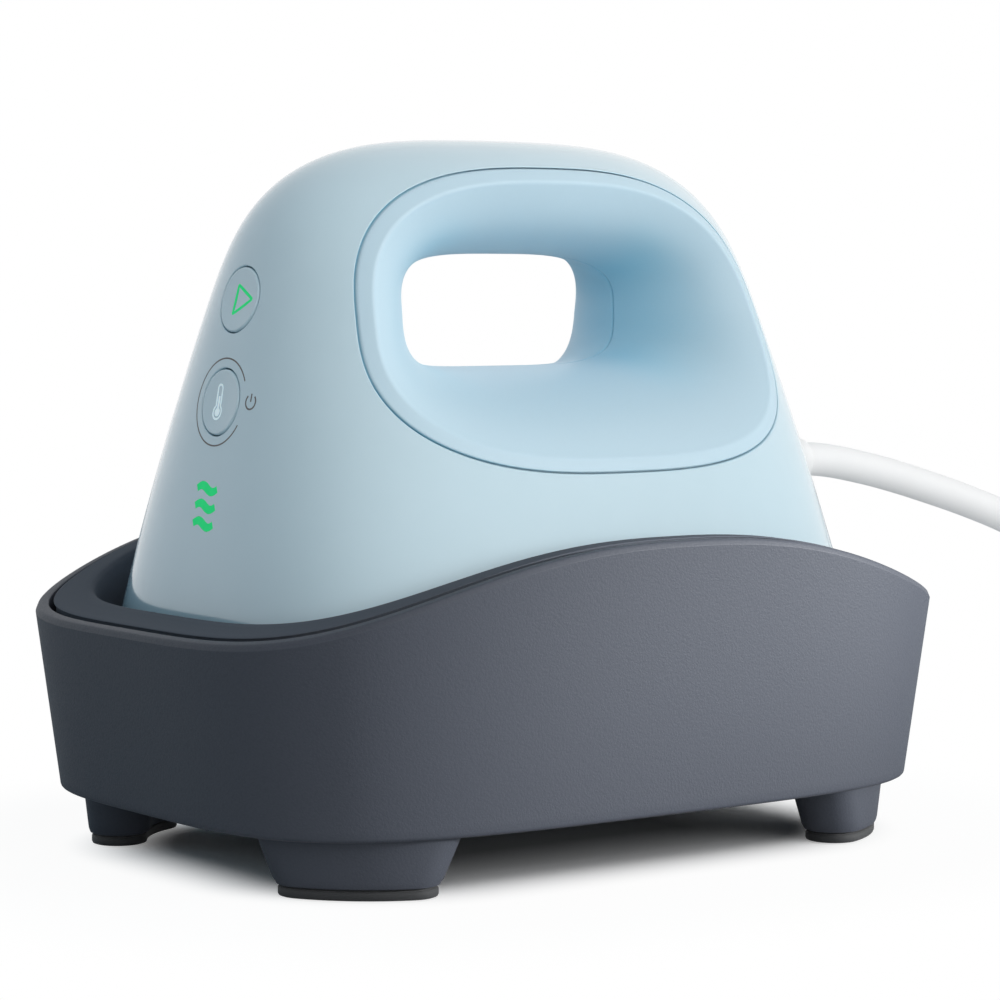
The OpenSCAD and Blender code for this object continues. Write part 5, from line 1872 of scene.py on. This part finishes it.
    def build(self) -> None:
        self.build_relief()
        plug, blades, tie = self.build_plug(), self.build_blades(), self.build_tie()
        rings = tube_rings(self.path, self.diameter / 2, self.sides)
        points, faces = skin(rings, [self.path[0], self.path[-1]])
        lead = settle(make_piece("mains_lead", points, faces), "cord_white", None, "power_cord", "cord_coil")
        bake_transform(lead)


# Pieces that keep their CAD shape


@dataclass
class Inside:
    """Every piece that keeps its CAD shape: heating stack, boards, wires and fasteners."""

    slots: dict[str, str]

    def build(self) -> None:
        """Dresses each shown node by the slot that the record gives it."""
        for name, node in frame["nodes"].items():
            if node.hide_render:
                continue
            dress(node, SLOT_FINISHES[self.slots[name]])
            LOG.info("%s: keeps its CAD shape", name)


# Studio


@dataclass(frozen=True)
class Lobe:
    """One broad, soft-edged source of light in the studio's dome.

    Attributes:
        azimuth: Direction in degrees from +X towards +Y.
        elevation: Height in degrees above the floor.
        strength: Brightness at its middle.
        sharpness: How fast it fades from there.
        tint: Colour of the light, sRGB hex.
    """

    azimuth: float
    elevation: float
    strength: float
    sharpness: float
    tint: str = "#ffffff"

    def direction(self) -> tuple[float, float, float]:
        """Unit vector to the middle of the light."""
        turn, rise = math.radians(self.azimuth), math.radians(self.elevation)
        return (math.cos(rise) * math.cos(turn), math.cos(rise) * math.sin(turn), math.sin(rise))


@dataclass
class Studio:
    """Pale floor, soft light and the camera at the photograph's angle.

    The floor is shaded by distance from the base's footprint, whose corners are rounded. Each fade is a
    start, an end and a share of plain white. A scale on the floor's own shade darkens it under the base,
    a painted shadow, and brightens it from there outward.
    """

    base: SafetyBase
    lead: MainsLead
    camera_at: tuple[float, float, float] = (561.29, -406.65, 116.81)
    target: tuple[float, float, float] = (4.5, 0.0, 71.6)
    lens: float = 117.67
    floor_half: float = 3000.0
    floor_drop: float = 0.2
    floor_paper: str = "#d8d8d8"
    corner: float = 46.0
    fades: tuple = ((-22.0, 3.0, 0.95), (20.0, 70.0, 0.05))
    # Scale on the floor's shade: the low end paints a shadow under the base, the high end turns it white
    painted_shadow_gain: tuple[float, float] = (0.4, 1.3)
    painted_shadow_reach: tuple[float, float] = (-46.0, -14.0)
    coil_fade: tuple[float, float, float] = (52.0, 100.0, 0.65)
    spot_at: tuple[float, float, float] = (640.0, 720.0, 190.0)
    spot_target: tuple[float, float, float] = (64.0, 30.0, 58.0)
    spot_cone: float = 10.8
    spot_power: float = 76.0
    ambient: float = 0.03
    fill_tint: str = "#bfe8ff"
    dome: tuple[Lobe, ...] = (
        Lobe(-6, 7, 1.5, 3.0), Lobe(32, 7, 2.35, 3.0), Lobe(200, 14, 1.1, 3.0, "#bfe8ff"),
    )

    def aim(
        self, name: str, data: bpy.types.ID, at: Sequence[float], target: Sequence[float]
    ) -> bpy.types.Object:
        """Places a camera or a lamp and turns it towards a target.

        Args:
            name: Name of the object.
            data: The camera's or the lamp's data.
            at: Where it stands.
            target: What it looks at.

        Returns:
            The object.
        """
        placed = bpy.data.objects.new(name, data)
        placed.location = Vector(at) * MM
        placed.rotation_euler = (Vector(target) - Vector(at)).to_track_quat("-Z", "Y").to_euler()
        bpy.context.scene.collection.objects.link(placed)
        return placed

    def build_camera(self) -> None:
        """Places the camera."""
        data = bpy.data.cameras.new("camera")
        data.lens = self.lens
        data.sensor_width = 36
        data.clip_start = 0.01
        data.clip_end = 50
        bpy.context.scene.camera = self.aim("camera", data, self.camera_at, self.target)

    def build_lamp(self) -> None:
        """Sets the snooted lamp that lights the middle and rear of the base's side, and the base alone."""
        data = bpy.data.lights.new("base_spot", "SPOT")
        data.energy = self.spot_power
        data.spot_size = math.radians(self.spot_cone)
        data.spot_blend = 1.0
        data.shadow_soft_size = 0.05
        lamp = self.aim("base_spot", data, self.spot_at, self.spot_target)
        only = bpy.data.collections.new("lit_by_base_spot")
        for name in ("base_outer", "base_inner_tray", "foot_pad_set"):
            only.objects.link(bpy.data.objects[name])
        lamp.light_linking.receiver_collection = only

    def build_world(self) -> None:
        """Fills with soft white light, and shows plain white behind the object."""
        world = bpy.data.worlds.new("studio")
        bpy.context.scene.world = world
        tree = empty_tree(world)
        where = add_node(tree, "ShaderNodeTexCoord").outputs["Generated"]
        fill = add_node(
            tree, "ShaderNodeBackground", {"Color": to_linear(self.fill_tint), "Strength": self.ambient}
        ).outputs[0]
        for lobe in self.dome:
            level = add_node(
                tree, "ShaderNodeVectorMath", {0: where, 1: lobe.direction()}, operation="DOT_PRODUCT"
            ).outputs["Value"]
            for operation, by in (("MAXIMUM", 0.0), ("POWER", lobe.sharpness), ("MULTIPLY", lobe.strength)):
                level = add_node(tree, "ShaderNodeMath", {0: level, 1: by}, operation=operation).outputs[0]
            light = add_node(tree, "ShaderNodeBackground", {"Color": to_linear(lobe.tint), "Strength": level})
            fill = add_node(tree, "ShaderNodeAddShader", {0: fill, 1: light.outputs[0]}).outputs[0]
        seen = add_node(tree, "ShaderNodeBackground", {"Color": (1, 1, 1, 1), "Strength": 1.0})
        rays = add_node(tree, "ShaderNodeLightPath")
        direct = rays.outputs["Is Camera Ray"]
        for kind in ("Is Transmission Ray", "Is Glossy Ray"):
            direct = add_node(
                tree, "ShaderNodeMath", {0: direct, 1: rays.outputs[kind]}, operation="MAXIMUM"
            ).outputs[0]
        shown = add_node(tree, "ShaderNodeMixShader", {0: direct, 1: fill, 2: seen.outputs["Background"]})
        add_node(tree, "ShaderNodeOutputWorld", {"Surface": shown.outputs["Shader"]})

    def build_floor(self) -> None:
        """Lays the floor: shadowed near the object, painted darker under the base, plain white further out.
        """
        mesh = bpy.data.meshes.new("floor")
        h, z = self.floor_half * MM, -self.floor_drop * MM
        mesh.from_pydata([(-h, -h, z), (h, -h, z), (h, h, z), (-h, h, z)], [], [(0, 1, 2, 3)])
        floor = bpy.data.objects.new("floor", mesh)
        bpy.context.scene.collection.objects.link(floor)
        material = bpy.data.materials.new("Paper white, seamless")
        tree = empty_tree(material)
        paper = add_node(tree, "ShaderNodeBsdfDiffuse", {"Color": to_linear(self.floor_paper)})
        white = add_node(tree, "ShaderNodeEmission", {"Color": (1, 1, 1, 1), "Strength": 1.0})
        where = add_node(tree, "ShaderNodeTexCoord").outputs["Object"]
        sides = add_node(tree, "ShaderNodeVectorMath", {0: where}, operation="ABSOLUTE").outputs[0]
        core = tuple((half - self.corner) * MM for half in self.base.half) + (1.0,)
        past = add_node(tree, "ShaderNodeVectorMath", {0: sides, 1: core}, operation="SUBTRACT").outputs[0]
        past = add_node(tree, "ShaderNodeVectorMath", {0: past, 1: (0, 0, 0)}, operation="MAXIMUM").outputs[0]
        past_by = add_node(tree, "ShaderNodeVectorMath", {0: past}, operation="LENGTH").outputs["Value"]
        # Painted shadow: the floor's shade is scaled down under the base, and up from there outward
        near, far = ((self.corner + reach) * MM for reach in self.painted_shadow_reach)
        low, high = self.painted_shadow_gain
        painted_shadow_gain = add_node(
            tree, "ShaderNodeMapRange",
            {"Value": past_by, "From Min": near, "From Max": far, "To Min": low, "To Max": high},
        )
        bright = add_node(tree, "ShaderNodeBsdfDiffuse", {"Color": painted_shadow_gain.outputs["Result"]})
        share: Union[float, bpy.types.NodeSocket] = 0.0
        for start, end, weight in self.fades:
            near, far = (self.corner + start) * MM, (self.corner + end) * MM
            ease = add_node(
                tree, "ShaderNodeMapRange", {"Value": past_by, "From Min": near, "From Max": far},
                interpolation_type="SMOOTHSTEP",
            ).outputs["Result"]
            share = add_node(
                tree, "ShaderNodeMath", {0: ease, 1: weight, 2: share}, operation="MULTIPLY_ADD"
            ).outputs[0]
        coil = tuple((self.lead.coil_middle * MM).tolist())
        off_coil = add_node(
            tree, "ShaderNodeVectorMath", {0: where, 1: coil}, operation="DISTANCE"
        ).outputs["Value"]
        start, end, least = self.coil_fade
        ease = add_node(
            tree, "ShaderNodeMapRange",
            {"Value": off_coil, "From Min": start * MM, "From Max": end * MM, "To Min": least},
            interpolation_type="SMOOTHSTEP",
        ).outputs["Result"]
        share = add_node(tree, "ShaderNodeMath", {0: share, 1: ease}, operation="MULTIPLY").outputs[0]
        seen = add_node(tree, "ShaderNodeMixShader", {0: share, 1: bright.outputs[0], 2: white.outputs[0]})
        direct = add_node(tree, "ShaderNodeLightPath").outputs["Is Camera Ray"]
        shown = add_node(
            tree, "ShaderNodeMixShader", {0: direct, 1: paper.outputs[0], 2: seen.outputs[0]}
        )
        add_node(tree, "ShaderNodeOutputMaterial", {"Surface": shown.outputs["Shader"]})
        mesh.materials.append(material)

    def build(self) -> None:
        """Sets up the studio."""
        bpy.context.scene.view_settings.view_transform = "Standard"
        self.build_camera()
        self.build_world()
        self.build_floor()


def main() -> None:
    """Builds the studio, the lead, the press and the base, and dresses what keeps its CAD shape."""
    logging.basicConfig(level=logging.INFO, format="%(name)s: %(message)s")
    housing = Housing()
    lead, base = MainsLead(housing), SafetyBase(housing)
    grips, controls = Grips(housing), Controls(housing)
    studio = Studio(base, lead)
    studio.build()
    lead.build()
    housing.build([grips.window_tool(1), grips.window_tool(-1), lead.exit_tool(), *controls.tools()])
    grips.build("right_grip", 1)
    grips.build("left_grip", -1)
    controls.build()
    base.build()
    studio.build_lamp()
    Inside({row["node"]: row["material_slot"] for row in frame["record"]["subparts"]}).build()


if __name__ == "__main__":
    main()
